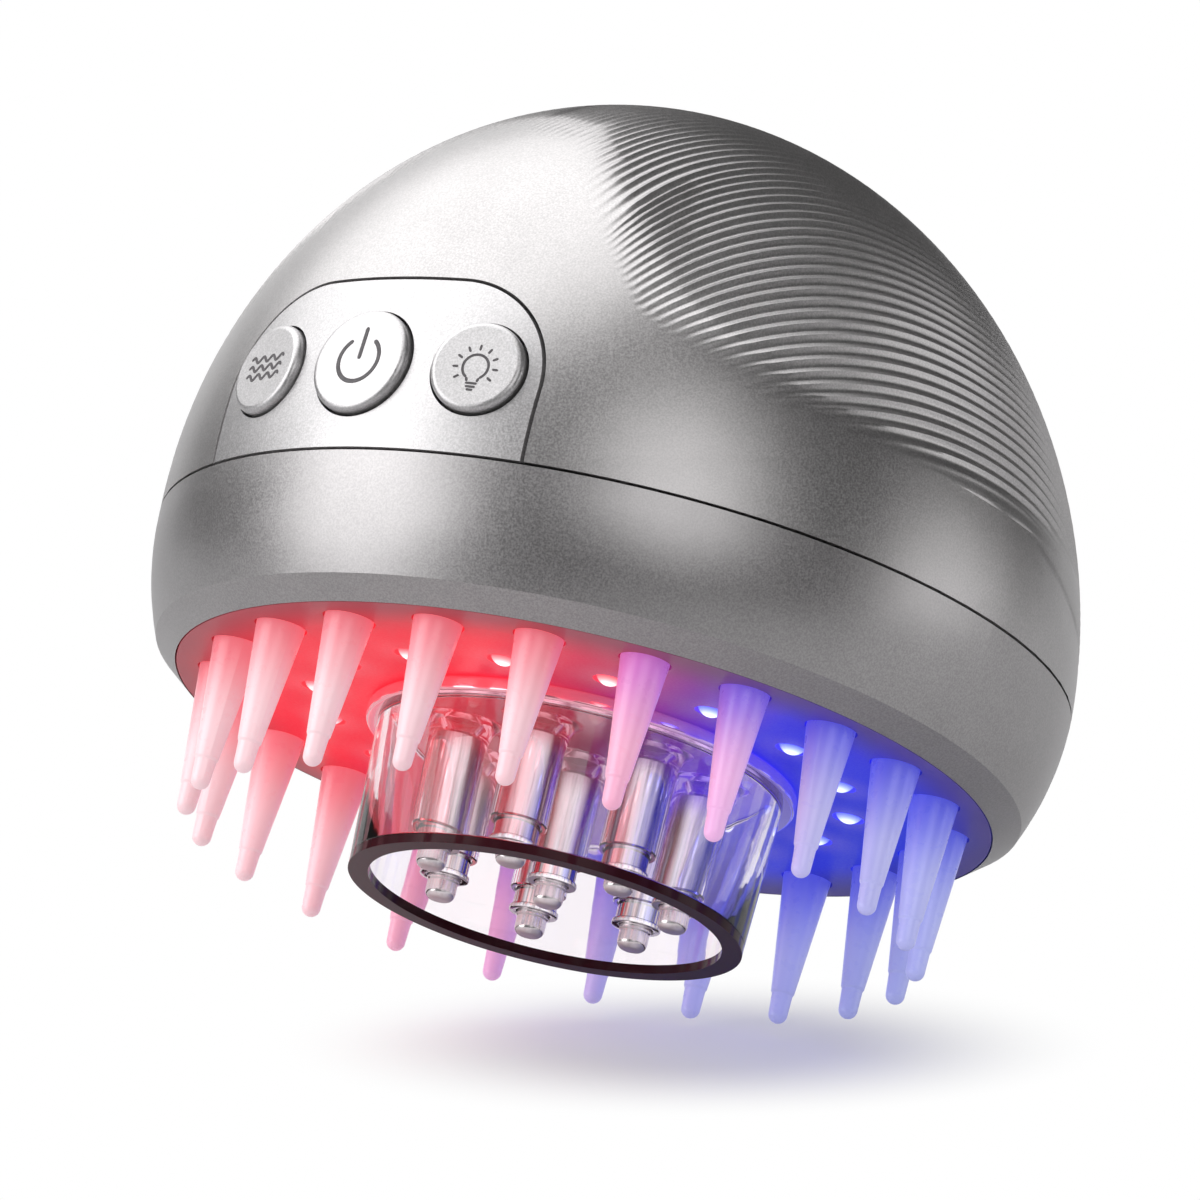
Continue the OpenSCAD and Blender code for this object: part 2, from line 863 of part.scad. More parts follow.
module nozzle_plate() {
    color("#e3e7ee", 0.35)
        difference() {
            union() {
                translate([0, 0, cup_top_z])
                    cylinder(r = carrier_r, h = flange_t, $fn = 96);
                translate([0, 0, plate_z - eps])
                    cylinder(r = spigot_r, h = spigot_len + eps, $fn = 96);
            }
            translate([0, 0, plate_z])
                cylinder(r = spigot_r - spigot_wall, h = spigot_len + eps, $fn = 96);
            translate([0, 0, seal_z])
                rotate_extrude($fn = 96)
                    translate([spigot_r - seal_slot_depth, 0])
                        square([2 * seal_slot_depth, seal_slot_w]);
            nozzle_bores();
        }
}

module nozzle_sleeves() {
    color("#e3e7ee", 0.35)
        difference() {
            at_nozzles() {
                translate([0, 0, sleeve_z])
                    cylinder(d = sleeve_d, h = cup_top_z - sleeve_z);
                translate([0, 0, cup_top_z - funnel_h])
                    cylinder(d1 = sleeve_d, r2 = funnel_r, h = funnel_h);
            }
            nozzle_bores();
        }
}

module cup_seal() {
    color("#2b2b2d")
        translate([0, 0, seal_z + seal_slot_w / 2])
            rotate_extrude($fn = 96)
                translate([spigot_r + spigot_gap - seal_gap - seal_d / 2, 0])
                    circle(d = seal_d, $fn = 24);
}

// Nozzle: a chrome tube with a collar, and a sprung tip held behind a guide in its foot
guide_len = 1.7;
inlet_d = 2;
tube_top_t = 0.8;
tube_bore_d = tube_d - 2 * tube_wall;
tip_head_d = tube_bore_d - 2 * tip_gap;
tip_head_t = 0.6;
tip_bore_d = nozzle_tip_d + 2 * tip_gap;
tip_head_z = collar_z + guide_len;
spring_z = tip_head_z + tip_head_t;
spring_top_z = tube_top_z - tube_top_t;
spring_gap = 0.15;
spring_d = tube_bore_d - spring_wire - 2 * spring_gap;

module nozzle_tubes() {
    color("#d8d8dc")
        at_nozzles()
            rotate_extrude()
                difference() {
                    union() {
                        translate([0, collar_z])
                            square([tube_d / 2, tube_len]);
                        translate([0, collar_z])
                            square([collar_d / 2, collar_t]);
                    }
                    translate([0, collar_z - eps])
                        square([tip_bore_d / 2, guide_len + 2 * eps]);
                    translate([0, tip_head_z])
                        square([tube_bore_d / 2, spring_top_z - tip_head_z]);
                    translate([0, spring_top_z - eps])
                        square([inlet_d / 2, tube_top_t + 2 * eps]);
                }
}

tip_round = 0.9;

module nozzle_tip(i) {
    r = nozzle_tip_d / 2;
    color("#e2e2e6")
        at_nozzle(i)
            rotate_extrude() {
                translate([0, tip_recess + tip_round])
                    square([r, tip_head_z - tip_recess - tip_round + eps]);
                translate([0, tip_recess])
                    square([r - tip_round, 2 * tip_round]);
                intersection() {
                    translate([r - tip_round, tip_recess + tip_round])
                        circle(r = tip_round);
                    translate([0, tip_recess])
                        square([r, tip_round + eps]);
                }
                translate([0, tip_head_z])
                    square([tip_head_d / 2, tip_head_t]);
            }
}

// A round wire swept up a helix, closed at both ends
coil_steps = 8;
wire_sides = 5;

module nozzle_spring(i) {
    rings = round(spring_turns * coil_steps);
    rise = spring_top_z - spring_z - spring_wire;
    points = [
        for (k = [0:rings])
            let (turn = k * 360 / coil_steps, mid_z = spring_z + (spring_wire + k * rise * 2 / rings) / 2)
                for (s = [0:wire_sides - 1])
                    let (
                        a = s * 360 / wire_sides,
                        reach = (spring_d + spring_wire * cos(a)) / 2
                    )
                        [reach * cos(turn), reach * sin(turn), mid_z + spring_wire / 2 * sin(a)]
    ];
    sides = [
        for (k = [0:rings - 1])
            for (s = [0:wire_sides - 1])
                let (t = (s + 1) % wire_sides, low = k * wire_sides, high = low + wire_sides)
                    each [[low + s, high + s, high + t], [low + s, high + t, low + t]]
    ];
    first = [for (s = [0:wire_sides - 1]) s];
    last = [for (s = [wire_sides - 1:-1:0]) rings * wire_sides + s];
    color("#b5b5ba")
        at_nozzle(i)
            polyhedron(points = points, faces = concat(sides, [first, last]));
}

// Serum tank: a drum over the spigot, with a neck that takes the applicator's seal
tank_z = light_board_z + board_t + fit;
tank_top_z = seam_z + tank_rise;

module serum_tank() {
    color("#dfe6ea", 0.5)
        rotate_extrude($fn = 96)
            polygon([
                [spigot_r + spigot_gap, plate_top_z], [neck_r, plate_top_z], [neck_r, tank_z],
                [tank_r, tank_z], [tank_r, tank_top_z], [0, tank_top_z],
                [0, tank_top_z - tank_wall], [tank_r - tank_wall, tank_top_z - tank_wall],
                [tank_r - tank_wall, tank_z + tank_wall],
                [spigot_r + spigot_gap, tank_z + tank_wall]
            ]);
}

// Foam between the tank and the main board
pad_inset = 4;
pad_w = 6;

module tank_pad() {
    color("#3c3c40")
        translate([0, 0, tank_top_z])
            difference() {
                cylinder(r = tank_r - pad_inset, h = main_board_z - tank_top_z);
                translate([0, 0, -eps])
                    cylinder(r = tank_r - pad_inset - pad_w, h = main_board_z - tank_top_z + 2 * eps);
            }
}

// Frame plate on the upper posts, with the main board hung below it
main_board_inset = 9;
standoff_inset = 4;
main_board_r = frame_r - main_board_inset;
standoff_r = main_board_r - standoff_inset;
standoff_d = 4;
arm_overlap = 2;

module at_standoffs() {
    for (turn = [45:90:315])
        rotate(turn)
            translate([standoff_r, 0, 0])
                children();
}

module frame_plate() {
    color("#6c6e73")
        difference() {
            union() {
                translate([0, 0, frame_z])
                    cylinder(r = frame_r, h = frame_t, $fn = 96);
                at_posts(frame_z)
                    cylinder(d = post_d, h = frame_t);
                for (turn = [45:90:315])
                    rotate(turn)
                        translate([-post_d / 2, -post_circle_r, frame_z])
                            cube([post_d, post_circle_r - frame_r + arm_overlap, frame_t]);
                at_standoffs()
                    translate([0, 0, main_board_z + board_t])
                        cylinder(d = standoff_d, h = frame_z - main_board_z - board_t + eps);
            }
            at_posts(frame_z - eps)
                cylinder(d = screw_hole_d, h = frame_t + 2 * eps);
            translate([0, -bracket_screw_r, frame_z - eps])
                cylinder(d = screw_bore_d, h = frame_t + 2 * eps);
            at_leads(frame_z - eps)
                cylinder(d = 2 * lead_d, h = frame_t + 2 * eps);
            bracket_plates(fit);
        }
}

module main_board() {
    color("#2f6b45")
        translate([0, 0, main_board_z])
            cylinder(r = main_board_r, h = board_t, $fn = 96);
}

// Two square chips and two round capacitors on the main board
chip_w = 7;
small_chip_w = 4;
chip_t = 1.2;
part_circle_r = main_board_r / 2;

module board_parts() {
    color("#28282b")
        translate([0, 0, main_board_z + board_t]) {
            translate([-chip_w / 2, -part_circle_r - chip_w / 2, 0])
                cube([chip_w, chip_w, chip_t]);
            translate([-small_chip_w / 2, part_circle_r - small_chip_w / 2, 0])
                cube([small_chip_w, small_chip_w, chip_t]);
            for (side = [-1, 1])
                translate([side * part_circle_r, 0, 0])
                    cylinder(d = small_chip_w, h = chip_t);
        }
}

// Battery cell in a cradle on the frame
cradle_t = 1.6;
cradle_inset = 3;
battery_tab_t = 1;
battery_z = frame_top_z + cradle_t + battery_d / 2;

module battery() {
    color("#4a7fb5")
        translate([-battery_len / 2, 0, battery_z])
            rotate([0, 90, 0]) {
                cylinder(d = battery_d, h = battery_len);
                translate([0, 0, battery_len - eps])
                    cylinder(d = battery_d / 3, h = battery_tab_t);
            }
}

// Leads from both ends of the cell, bent down through the frame to the main board
lead_d = 1.4;
lead_bend_r = 2;
lead_x = battery_len / 2 + battery_tab_t + lead_bend_r;

module at_leads(level) {
    for (side = [0, 180])
        rotate(side)
            translate([lead_x, 0, level])
                children();
}

module battery_leads() {
    color("#b3262a")
        at_leads(0) {
            translate([0, 0, main_board_z + board_t])
                cylinder(d = lead_d, h = battery_z - lead_bend_r - main_board_z - board_t);
            translate([-lead_bend_r, 0, battery_z - lead_bend_r])
                rotate([90, 0, 0])
                    rotate_extrude(angle = 90)
                        translate([lead_bend_r, 0])
                            circle(d = lead_d, $fn = 24);
        }
}

module battery_cradle() {
    saddle_w = battery_d + 2 * cradle_t;
    color("#55565a")
        difference() {
            translate([-battery_len / 2 + cradle_inset, -saddle_w / 2, frame_top_z])
                cube([battery_len - 2 * cradle_inset, saddle_w, battery_z - frame_top_z]);
            translate([-battery_len, 0, battery_z])
                rotate([0, 90, 0])
                    cylinder(d = battery_d + fit, h = 2 * battery_len);
        }
}

// Vibration motor across the back, hung from the frame, with its eccentric weight
clamp_t = 1.5;
clamp_inset = 2;
motor_gap = 0.5;
motor_drop = 3.4;
motor_y = tank_r + motor_gap + clamp_t + motor_d / 2;
motor_z = frame_z - motor_d / 2 - motor_drop;
weight_gap = 0.8;
shaft_out = weight_t + 2 * weight_gap;
weight_hub_t = 0.9;
weight_play = 0.1;

module at_motor(x) {
    translate([x, motor_y, motor_z])
        rotate([0, 90, 0])
            children();
}

module motor() {
    color("#b9bcc2") {
        at_motor(-motor_len / 2)
            cylinder(d = motor_d, h = motor_len);
        at_motor(motor_len / 2 - eps)
            cylinder(d = shaft_d, h = shaft_out + eps);
    }
}

module motor_clamp() {
    w = motor_d + 2 * clamp_t;
    color("#55565a")
        difference() {
            translate([-motor_len / 2 + clamp_inset, motor_y - w / 2, motor_z - motor_d / 4])
                cube([motor_len - 2 * clamp_inset, w, frame_z - motor_z + motor_d / 4]);
            at_motor(-motor_len)
                cylinder(d = motor_d + fit, h = 2 * motor_len);
        }
}

module motor_weight() {
    color("#8a7f6d")
        at_motor(motor_len / 2 + weight_gap)
            difference() {
                union() {
                    cylinder(d = shaft_d + 2 * weight_hub_t, h = weight_t);
                    intersection() {
                        cylinder(r = weight_r, h = weight_t);
                        translate([0, -weight_r, 0])
                            cube([weight_r, 2 * weight_r, weight_t]);
                    }
                }
                translate([0, 0, -eps])
                    cylinder(d = shaft_d + weight_play, h = weight_t + 2 * eps);
            }
}

// Charging socket at the back of the lower ring
socket_rise = 6;
socket_recess = 1.2;
socket_wall = 0.3;
socket_back_t = 1;
socket_tongue_t = 0.7;
socket_tongue_gap = 1.6;
socket_z = chamfer_z + socket_rise;
charge_board_z = socket_z - socket_h / 2 - board_t;
charge_board_side = 1;
charge_board_w = socket_w + 2 * charge_board_side;
charge_board_len = 7;
charge_board_out = 3;
socket_curve_r = sqrt(pow(ring_curve_r, 2) - pow(seam_z - socket_z, 2));
socket_face_y = ring_curve_c + socket_curve_r - socket_recess;

module socket_outline(grow) {
    h = socket_h + 2 * grow;
    translate([-(socket_w - socket_h) / 2, -h / 2])
        square([socket_w - socket_h, h]);
    for (side = [-1, 1])
        translate([side * (socket_w - socket_h) / 2, 0])
            circle(d = h);
}

module socket_bar(grow, depth) {
    rotate([-90, 0, 0])
        linear_extrude(height = depth)
            socket_outline(grow);
}

module charge_opening() {
    translate([0, socket_face_y - socket_len, socket_z])
        socket_bar(fit, socket_len + shell_wall * 2);
}

module charge_socket() {
    color("#c4c6ca")
        translate([0, socket_face_y - socket_len, socket_z])
            difference() {
                socket_bar(0, socket_len);
                translate([0, socket_back_t, 0])
                    difference() {
                        socket_bar(-socket_wall, socket_len);
                        translate([-socket_w / 2 + socket_tongue_gap, -eps, -socket_tongue_t / 2])
                            cube([
                                socket_w - 2 * socket_tongue_gap,
                                socket_len - 2 * socket_back_t, socket_tongue_t
                            ]);
                    }
            }
}

module charge_board() {
    color("#2f6b45")
        translate([-charge_board_w / 2, socket_face_y - socket_len - charge_board_out, charge_board_z])
            cube([charge_board_w, charge_board_len, board_t]);
}

// Screws with a flat head and a slot
slot_w = 0.6;

module screw(len) {
    translate([0, 0, -eps])
        cylinder(d = screw_d, h = len + eps);
    difference() {
        translate([0, 0, -screw_head_t])
            cylinder(d = screw_head_d, h = screw_head_t);
        translate([-screw_head_d, -slot_w / 2, -screw_head_t - eps])
            cube([2 * screw_head_d, slot_w, slot_w]);
    }
}

module case_screws() {
    color("#8f9196")
        at_posts(screw_seat_z)
            screw(screw_seat_t + case_screw_bite);
}

module frame_screws() {
    color("#8f9196") {
        at_posts(frame_top_z)
            rotate([180, 0, 0])
                screw(frame_t + frame_screw_bite);
        translate([0, -bracket_screw_r, frame_top_z + bracket_foot_t])
            rotate([180, 0, 0])
                screw(frame_t + frame_screw_bite);
    }
}

upper_shell();
control_panel();
wave_button();
power_button();
light_button();
key_domes();
tact_switches();
switch_board();
switch_bracket();
lower_ring();
seam_gasket();
base_plate();
comb_ring();
comb_teeth();
light_board();
red_leds();
blue_leds();
applicator_cup();
cup_rim();
nozzle_plate();
nozzle_sleeves();
cup_seal();
nozzle_tubes();
nozzle_tip(0);  // nozzle_tip_1
nozzle_tip(1);  // nozzle_tip_2
nozzle_tip(2);  // nozzle_tip_3
nozzle_tip(3);  // nozzle_tip_4
nozzle_tip(4);  // nozzle_tip_5
nozzle_tip(5);  // nozzle_tip_6
nozzle_tip(6);  // nozzle_tip_7
nozzle_tip(7);  // nozzle_tip_8
nozzle_spring(0);  // nozzle_spring_1
nozzle_spring(1);  // nozzle_spring_2
nozzle_spring(2);  // nozzle_spring_3
nozzle_spring(3);  // nozzle_spring_4
nozzle_spring(4);  // nozzle_spring_5
nozzle_spring(5);  // nozzle_spring_6
nozzle_spring(6);  // nozzle_spring_7
nozzle_spring(7);  // nozzle_spring_8
serum_tank();
tank_pad();
frame_plate();
main_board();
board_parts();
battery();
battery_leads();
battery_cradle();
motor();
motor_clamp();
motor_weight();
charge_socket();
charge_board();
case_screws();
frame_screws();
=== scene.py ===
from functools import cache
from math import asin, atan2, cos, degrees, hypot, pi, radians, sin, sqrt, tan

import bmesh
import bpy
from mathutils import Matrix, Vector


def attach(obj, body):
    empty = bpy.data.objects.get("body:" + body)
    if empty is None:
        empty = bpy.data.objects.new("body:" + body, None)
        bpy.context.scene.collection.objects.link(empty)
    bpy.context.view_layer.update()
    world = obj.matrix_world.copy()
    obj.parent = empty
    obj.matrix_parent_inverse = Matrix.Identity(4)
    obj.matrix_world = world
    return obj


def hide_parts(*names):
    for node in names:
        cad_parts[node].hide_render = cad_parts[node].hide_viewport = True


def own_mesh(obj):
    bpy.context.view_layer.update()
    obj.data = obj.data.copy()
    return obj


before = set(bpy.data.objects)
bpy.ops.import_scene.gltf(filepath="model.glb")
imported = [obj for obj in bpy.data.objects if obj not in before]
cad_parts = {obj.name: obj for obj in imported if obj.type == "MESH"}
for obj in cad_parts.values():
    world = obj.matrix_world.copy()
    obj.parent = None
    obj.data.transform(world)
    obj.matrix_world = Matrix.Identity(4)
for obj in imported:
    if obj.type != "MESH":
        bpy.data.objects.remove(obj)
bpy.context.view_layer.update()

# Camera
# Seen from a little below, over the left end of the button panel, with a long lens.
camera = bpy.data.cameras.new("camera")
camera.lens, camera.sensor_width, camera.clip_start, camera.clip_end = 360.55, 36, 0.05, 20
eye = bpy.data.objects.new("camera", camera)
eye.location = (0.716834, -0.866487, -0.300836)
eye.rotation_euler = [radians(turn) for turn in (106.9263, -12.9299, 35.799)]
bpy.context.collection.objects.link(eye)
bpy.context.scene.camera = eye
bpy.context.scene.view_settings.view_transform = "Standard"


# Studio
# A white sweep behind the comb. Soft boxes stand on the left, over the top, in front and low on
# the right. The rest is dim, which gives the satin shell its shading.
class Val:
    """A socket of a finish. Sums written with it add Math nodes."""

    def __init__(self, finish, socket):
        self.finish, self.socket = finish, socket

    def math(self, operation, first, second=0.0):
        return self.finish.node("Math", {"operation": operation}, {0: first, 1: second})

    def __add__(self, other):
        return self.math("ADD", self, other)

    def __sub__(self, other):
        return self.math("SUBTRACT", self, other)

    def __rsub__(self, other):
        return self.math("SUBTRACT", other, self)

    def __mul__(self, other):
        return self.math("MULTIPLY", self, other)

    def __truediv__(self, other):
        return self.math("DIVIDE", self, other)

    def __pow__(self, other):
        return self.math("POWER", self, other)

    __radd__, __rmul__ = __add__, __mul__


class Finish:
    """A material, or the world, made of nodes. node() takes settings first, then sockets."""

    def __init__(self, name, block=None):
        self.block = block or bpy.data.materials.new(name)
        self.block.use_nodes = True
        self.tree = self.block.node_tree
        self.tree.nodes.clear()

    def node(self, kind, settings=None, values=None, out=0):
        made = self.tree.nodes.new("ShaderNode" + kind)
        for name, value in (settings or {}).items():
            if name == "stops":
                ramp = made.color_ramp.elements
                while len(ramp) < len(value):
                    ramp.new(0.5)
                for stop, (at, colour) in zip(ramp, value):
                    stop.position, stop.color = at, (*colour, 1)
            else:
                setattr(made, name, value)
        for name, value in (values or {}).items():
            if isinstance(value, Val):
                self.tree.links.new(value.socket, made.inputs[name])
            else:
                made.inputs[name].default_value = value
        return Val(self, made.outputs[out])

    def place(self):
        return self.node("TexCoord", out="Object")

    def ray(self, kind):
        return self.node("LightPath", out=f"Is {kind} Ray")

    def split(self, vector):
        return [self.node("SeparateXYZ", values={0: vector}, out=axis) for axis in range(3)]

    def dot(self, vector, direction):
        return self.node(
            "VectorMath", {"operation": "DOT_PRODUCT"}, {0: vector, 1: direction}, out="Value"
        )

    def ease(self, value, start, end, low=0.0, high=1.0):
        return self.node(
            "MapRange", {"interpolation_type": "SMOOTHSTEP"},
            {"Value": value, "From Min": start, "From Max": end, "To Min": low, "To Max": high},
        )

    def mix(self, share, first, second):
        first, second = (c if isinstance(c, Val) else (*c, 1) for c in (first, second))
        return self.node("Mix", {"data_type": "RGBA"}, {0: share, 6: first, 7: second}, out=2)

    def scale(self, colour, amount):
        return self.node("VectorMath", {"operation": "SCALE"}, {0: colour, "Scale": amount})

    def noise(self, scale, detail=2.0, roughness=0.5, at=None):
        return self.node("TexNoise", None, {
            "Vector": at or self.place(), "Scale": scale, "Detail": detail,
            "Roughness": roughness,
        })

    def bump(self, height, depth, strength=1.0):
        return self.node(
            "Bump", None, {"Height": height, "Distance": depth, "Strength": strength},
        )

    def surface(self, **values):
        """The Principled shader; underscores in a name stand for spaces."""
        named = {name.replace("_", " "): value for name, value in values.items()}
        for name, value in named.items():
            if isinstance(value, tuple) and len(value) == 3:
                named[name] = (*value, 1)
        return self.node("BsdfPrincipled", None, named)

    def output(self, shader, kind="OutputMaterial"):
        end = self.tree.nodes.new("ShaderNode" + kind)
        self.tree.links.new(shader.socket, end.inputs["Surface"])
        return self


world = bpy.data.worlds.new("studio")
bpy.context.scene.world = world
sky = Finish("studio", world)
look = sky.node("TexCoord", out="Generated")
side_box = sky.ease(sky.dot(look, (-0.479, -0.878, 0.005)), 0.858, 0.955, 0.0, 2.7)
top_box = sky.ease(sky.dot(look, (-0.413, -0.362, 0.836)), 0.66, 0.88, 0.0, 2.4)
front_box = sky.ease(sky.dot(look, (0.711, -0.662, 0.237)), 0.888, 1.0, 0.0, 1.9)
slim_box = sky.ease(sky.dot(look, (0.805, 0.591, 0.054)), 0.855, 0.975, 0.0, 1.8)
ambient = 0.06
to_camera = (0.6124, -0.7378, -0.2838)
backdrop = sky.ease(sky.dot(look, to_camera), -0.72, -0.96)
light = side_box + top_box + front_box + slim_box + ambient
white = sky.node(
    "Math", {"operation": "MAXIMUM"}, {0: sky.ray("Camera"), 1: sky.ray("Transmission")},
)
white = sky.node("Math", {"operation": "MAXIMUM"}, {0: white, 1: backdrop})
strength = light * (1 - white) + white
sky.output(sky.node("Background", None, {"Color": (1, 1, 1, 1), "Strength": strength}),
           "OutputWorld")

# Floor
# A white sheet just under the lowest teeth, seen only from above. It keeps the shadow close to
# the comb and turns plain white around it.
floor_up = Vector((0.0819, -0.4605, 0.8839)).normalized()
rest_point = Vector((-0.008, 0.0366, 0.0013))
shade_spot = (-0.0023, 0.0294, -0.0030)
shade_core, shade_edge = 0.012, 0.042
ground = bmesh.new()
bmesh.ops.create_grid(ground, x_segments=8, y_segments=8, size=1.6)
bmesh.ops.transform(
    ground, verts=ground.verts,
    matrix=Matrix.Translation(rest_point) @ floor_up.to_track_quat("Z", "Y").to_matrix().to_4x4(),
)
floor_mesh = bpy.data.meshes.new("floor")
ground.to_mesh(floor_mesh)
floor = bpy.data.objects.new("floor", floor_mesh)
bpy.context.collection.objects.link(floor)
sheet = Finish("floor")
lit = sheet.node("BsdfDiffuse", None, {"Color": (0.52, 0.52, 0.525, 1)})
seen = sheet.ray("Camera")
lift = 0.36 * seen + 0.4 * sheet.ray("Transmission") + 0.04 * sheet.ray("Glossy")
glow = sheet.node("Emission", None, {"Color": (1, 1, 1, 1), "Strength": lift})
both = sheet.node("AddShader", None, {0: lit, 1: glow})
clear = sheet.node("BsdfTransparent")
hidden = sheet.node("NewGeometry", out="Backfacing")
x, y, z = (part - middle for part, middle in zip(sheet.split(sheet.place()), shade_spot))
apart = (x * x + y * y + z * z) ** 0.5
white = sheet.node("Emission", None, {"Color": (1, 1, 1, 1), "Strength": 1.0})
fading = seen * sheet.ease(apart, shade_core, shade_edge)
both = sheet.node("MixShader", None, {0: fading, 1: both, 2: white})
sheet.output(sheet.node("MixShader", None, {0: hidden, 1: both, 2: clear}))
floor_mesh.materials.append(sheet.block)


# Upper shell
# Injection-moulded dome with a ribbed grip over the crown and down both sides, sprayed with
# satin metallic paint. It drops over the lower ring's tongue and is screwed from below.
mm = 0.001
body_r, dome_h, seam_z, lean, wall = 45.6, 49.8, 30.2, 3.2 / 49.8, 2.2
panel_half, panel_h, panel_corner = 19.0, 18.4, 11.0


def satin_paint(name, tone, smooth=0.34):
    """Metallic spray paint: fine flake speckle and a faint orange peel."""
    paint = Finish(name)
    flake = paint.noise(5200, 2, 0.6)
    cloud = paint.noise(160, 3, 0.5)
    peel = paint.noise(1400, 3, 0.6)
    level = paint.ease(flake, 0.3, 0.72, 0.86, 1.16) * paint.ease(cloud, 0.25, 0.75, 0.97, 1.03)
    rough = paint.ease(flake, 0.25, 0.75, smooth, smooth + 0.1)
    return paint.output(paint.surface(
        Base_Color=paint.scale(tone, level), Metallic=0.9, Roughness=rough,
        Normal=paint.bump(flake * 0.5 + peel * 0.5, 0.00003, 0.4),
    ))


def piece(name, bm, finish, body="body", replaces=(), sharp=35):
    """Makes the mesh, drawn in mm, into a piece that rides on its body."""
    bmesh.ops.scale(bm, verts=bm.verts, vec=(mm, mm, mm))
    mesh = bpy.data.meshes.new(name)
    bm.to_mesh(mesh)
    bm.free()
    for face in mesh.polygons:
        face.use_smooth = True
    mesh.set_sharp_from_angle(angle=radians(sharp))
    mesh.materials.append(finish.block)
    obj = bpy.data.objects.new(name, mesh)
    bpy.context.collection.objects.link(obj)
    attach(obj, body)
    if replaces:
        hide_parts(*replaces)
    return obj


def on_dome(azimuth, height):
    """Point of the dome at an azimuth from the front and an elevation, both in radians."""
    r, rise = body_r * cos(height), dome_h * sin(height)
    return Vector((r * sin(azimuth), -r * cos(azimuth) - lean * rise, seam_z + rise))


# The grip's ribs: each is nearly a flat cut through the dome. The cuts stand upright over the
# crown, lie flatter down the sides, and turn a little inwards towards the front and the back.
shield = [(0, 39.4), (7, 37.3), (20, 23.4), (24.5, 17.8), (37, 11)]
grip_low, rib_step, rib_depth, rib_round, rib_fade = 11.0, 1.55, 0.3, 0.7, 4
low_slant, slant_gain = 22, 1.18
most_turn, turn_shift, turn_start = radians(12.5), 0.76, 6
last_rib = (90 - degrees(asin(grip_low / dome_h))) / rib_step


def rib_cut(number):
    """Where a rib crosses the dome's side, and its cut's slant and turn, from the front."""
    high = 90 - rib_step * abs(number)
    slant = radians(min(90, low_slant + slant_gain * high))
    turn = tan(most_turn * sin(pi * (abs(number) / last_rib) ** turn_shift))
    high = radians(high)
    return body_r * cos(high), dome_h * sin(high), cos(slant), sin(slant), turn


def inward(turn, back):
    """How far a rib has turned inwards at a distance before or behind the dome's middle."""
    return turn * (hypot(back, turn_start) - turn_start)


def rib_point(number, back):
    """Where a rib is, seen from the front, at a distance before or behind the middle."""
    x0, z0, dx, dz, turn = rib_cut(number)
    x0, z0 = x0 - inward(turn, back) * dz, z0 + inward(turn, back) * dx
    a = (dx / body_r) ** 2 + (dz / dome_h) ** 2
    b = x0 * dx / body_r ** 2 + z0 * dz / dome_h ** 2
    c = (x0 / body_r) ** 2 + (z0 / dome_h) ** 2 + (back / body_r) ** 2 - 1
    if b * b < a * c:
        return None
    run = (b - sqrt(b * b - a * c)) / a
    return max(0.0, x0 - run * dx), z0 - run * dz


def grip_depth(x, rise):
    """Distance of a point, seen from the front, inside the edge of the ribbed grip."""
    inside = rise - grip_low
    if x < shield[-1][0]:
        for (x0, z0), (x1, z1) in zip(shield, shield[1:]):
            if x <= x1:
                along = (x - x0) / (x1 - x0)
                slant = (x1 - x0) / hypot(x1 - x0, z1 - z0)
                return min(inside, (rise - z0 - along * (z1 - z0)) * slant)
    return inside


def furthest(holds, high, halvings):
    """The largest value, between nothing and high, up to which a test holds."""
    low = 0.0
    for _ in range(halvings):
        middle = (low + high) / 2
        if holds(middle):
            low = middle
        else:
            high = middle
    return low


@cache
def rib_end(number):
    """How far before or behind the middle a rib meets the grip's edge."""
    def on_grip(back):
        point = rib_point(number, back)
        return point and grip_depth(*point) > 0
    return furthest(on_grip, body_r, 26)


def on_rib(number, way):
    """Azimuth and elevation on a rib, from its front end (-1) over the side to its back end."""
    back = way * rib_end(number)
    x, z = rib_point(number, back) or rib_cut(number)[:2]
    return atan2(x if number > 0 else -x, -back), asin(min(1.0, z / dome_h))


def outline_chain(steps, half, height, corner, foot):
    """Points round the button panel's outline, from its left foot to its right one."""
    upright = height - corner - foot
    arc = corner * pi / 2
    total = 2 * upright + 2 * arc + 2 * (half - corner)
    points = []
    for k in range(steps + 1):
        run = total * k / steps
        mirror = run > total / 2
        run = min(run, total - run)
        if run < upright:
            x, z = -half, foot + run
        elif run < upright + arc:
            turn = (run - upright) / corner
            x, z = -half + corner - corner * cos(turn), height - corner + corner * sin(turn)
        else:
            x, z = -half + corner + run - upright - arc, height
        points.append((-x if mirror else x, z))
    return points


# Mesh columns for each rib and beside the grip, and rows along a rib and on the smooth parts
per_rib, beside, along_rib, smooth_rows, row_spread = 6, 8, 44, 14, 1.15
rib_steps = 2 * round(last_rib * per_rib)
low_rise = 0.15
foot_height = low_rise / dome_h
edge_height = asin(grip_low / dome_h)


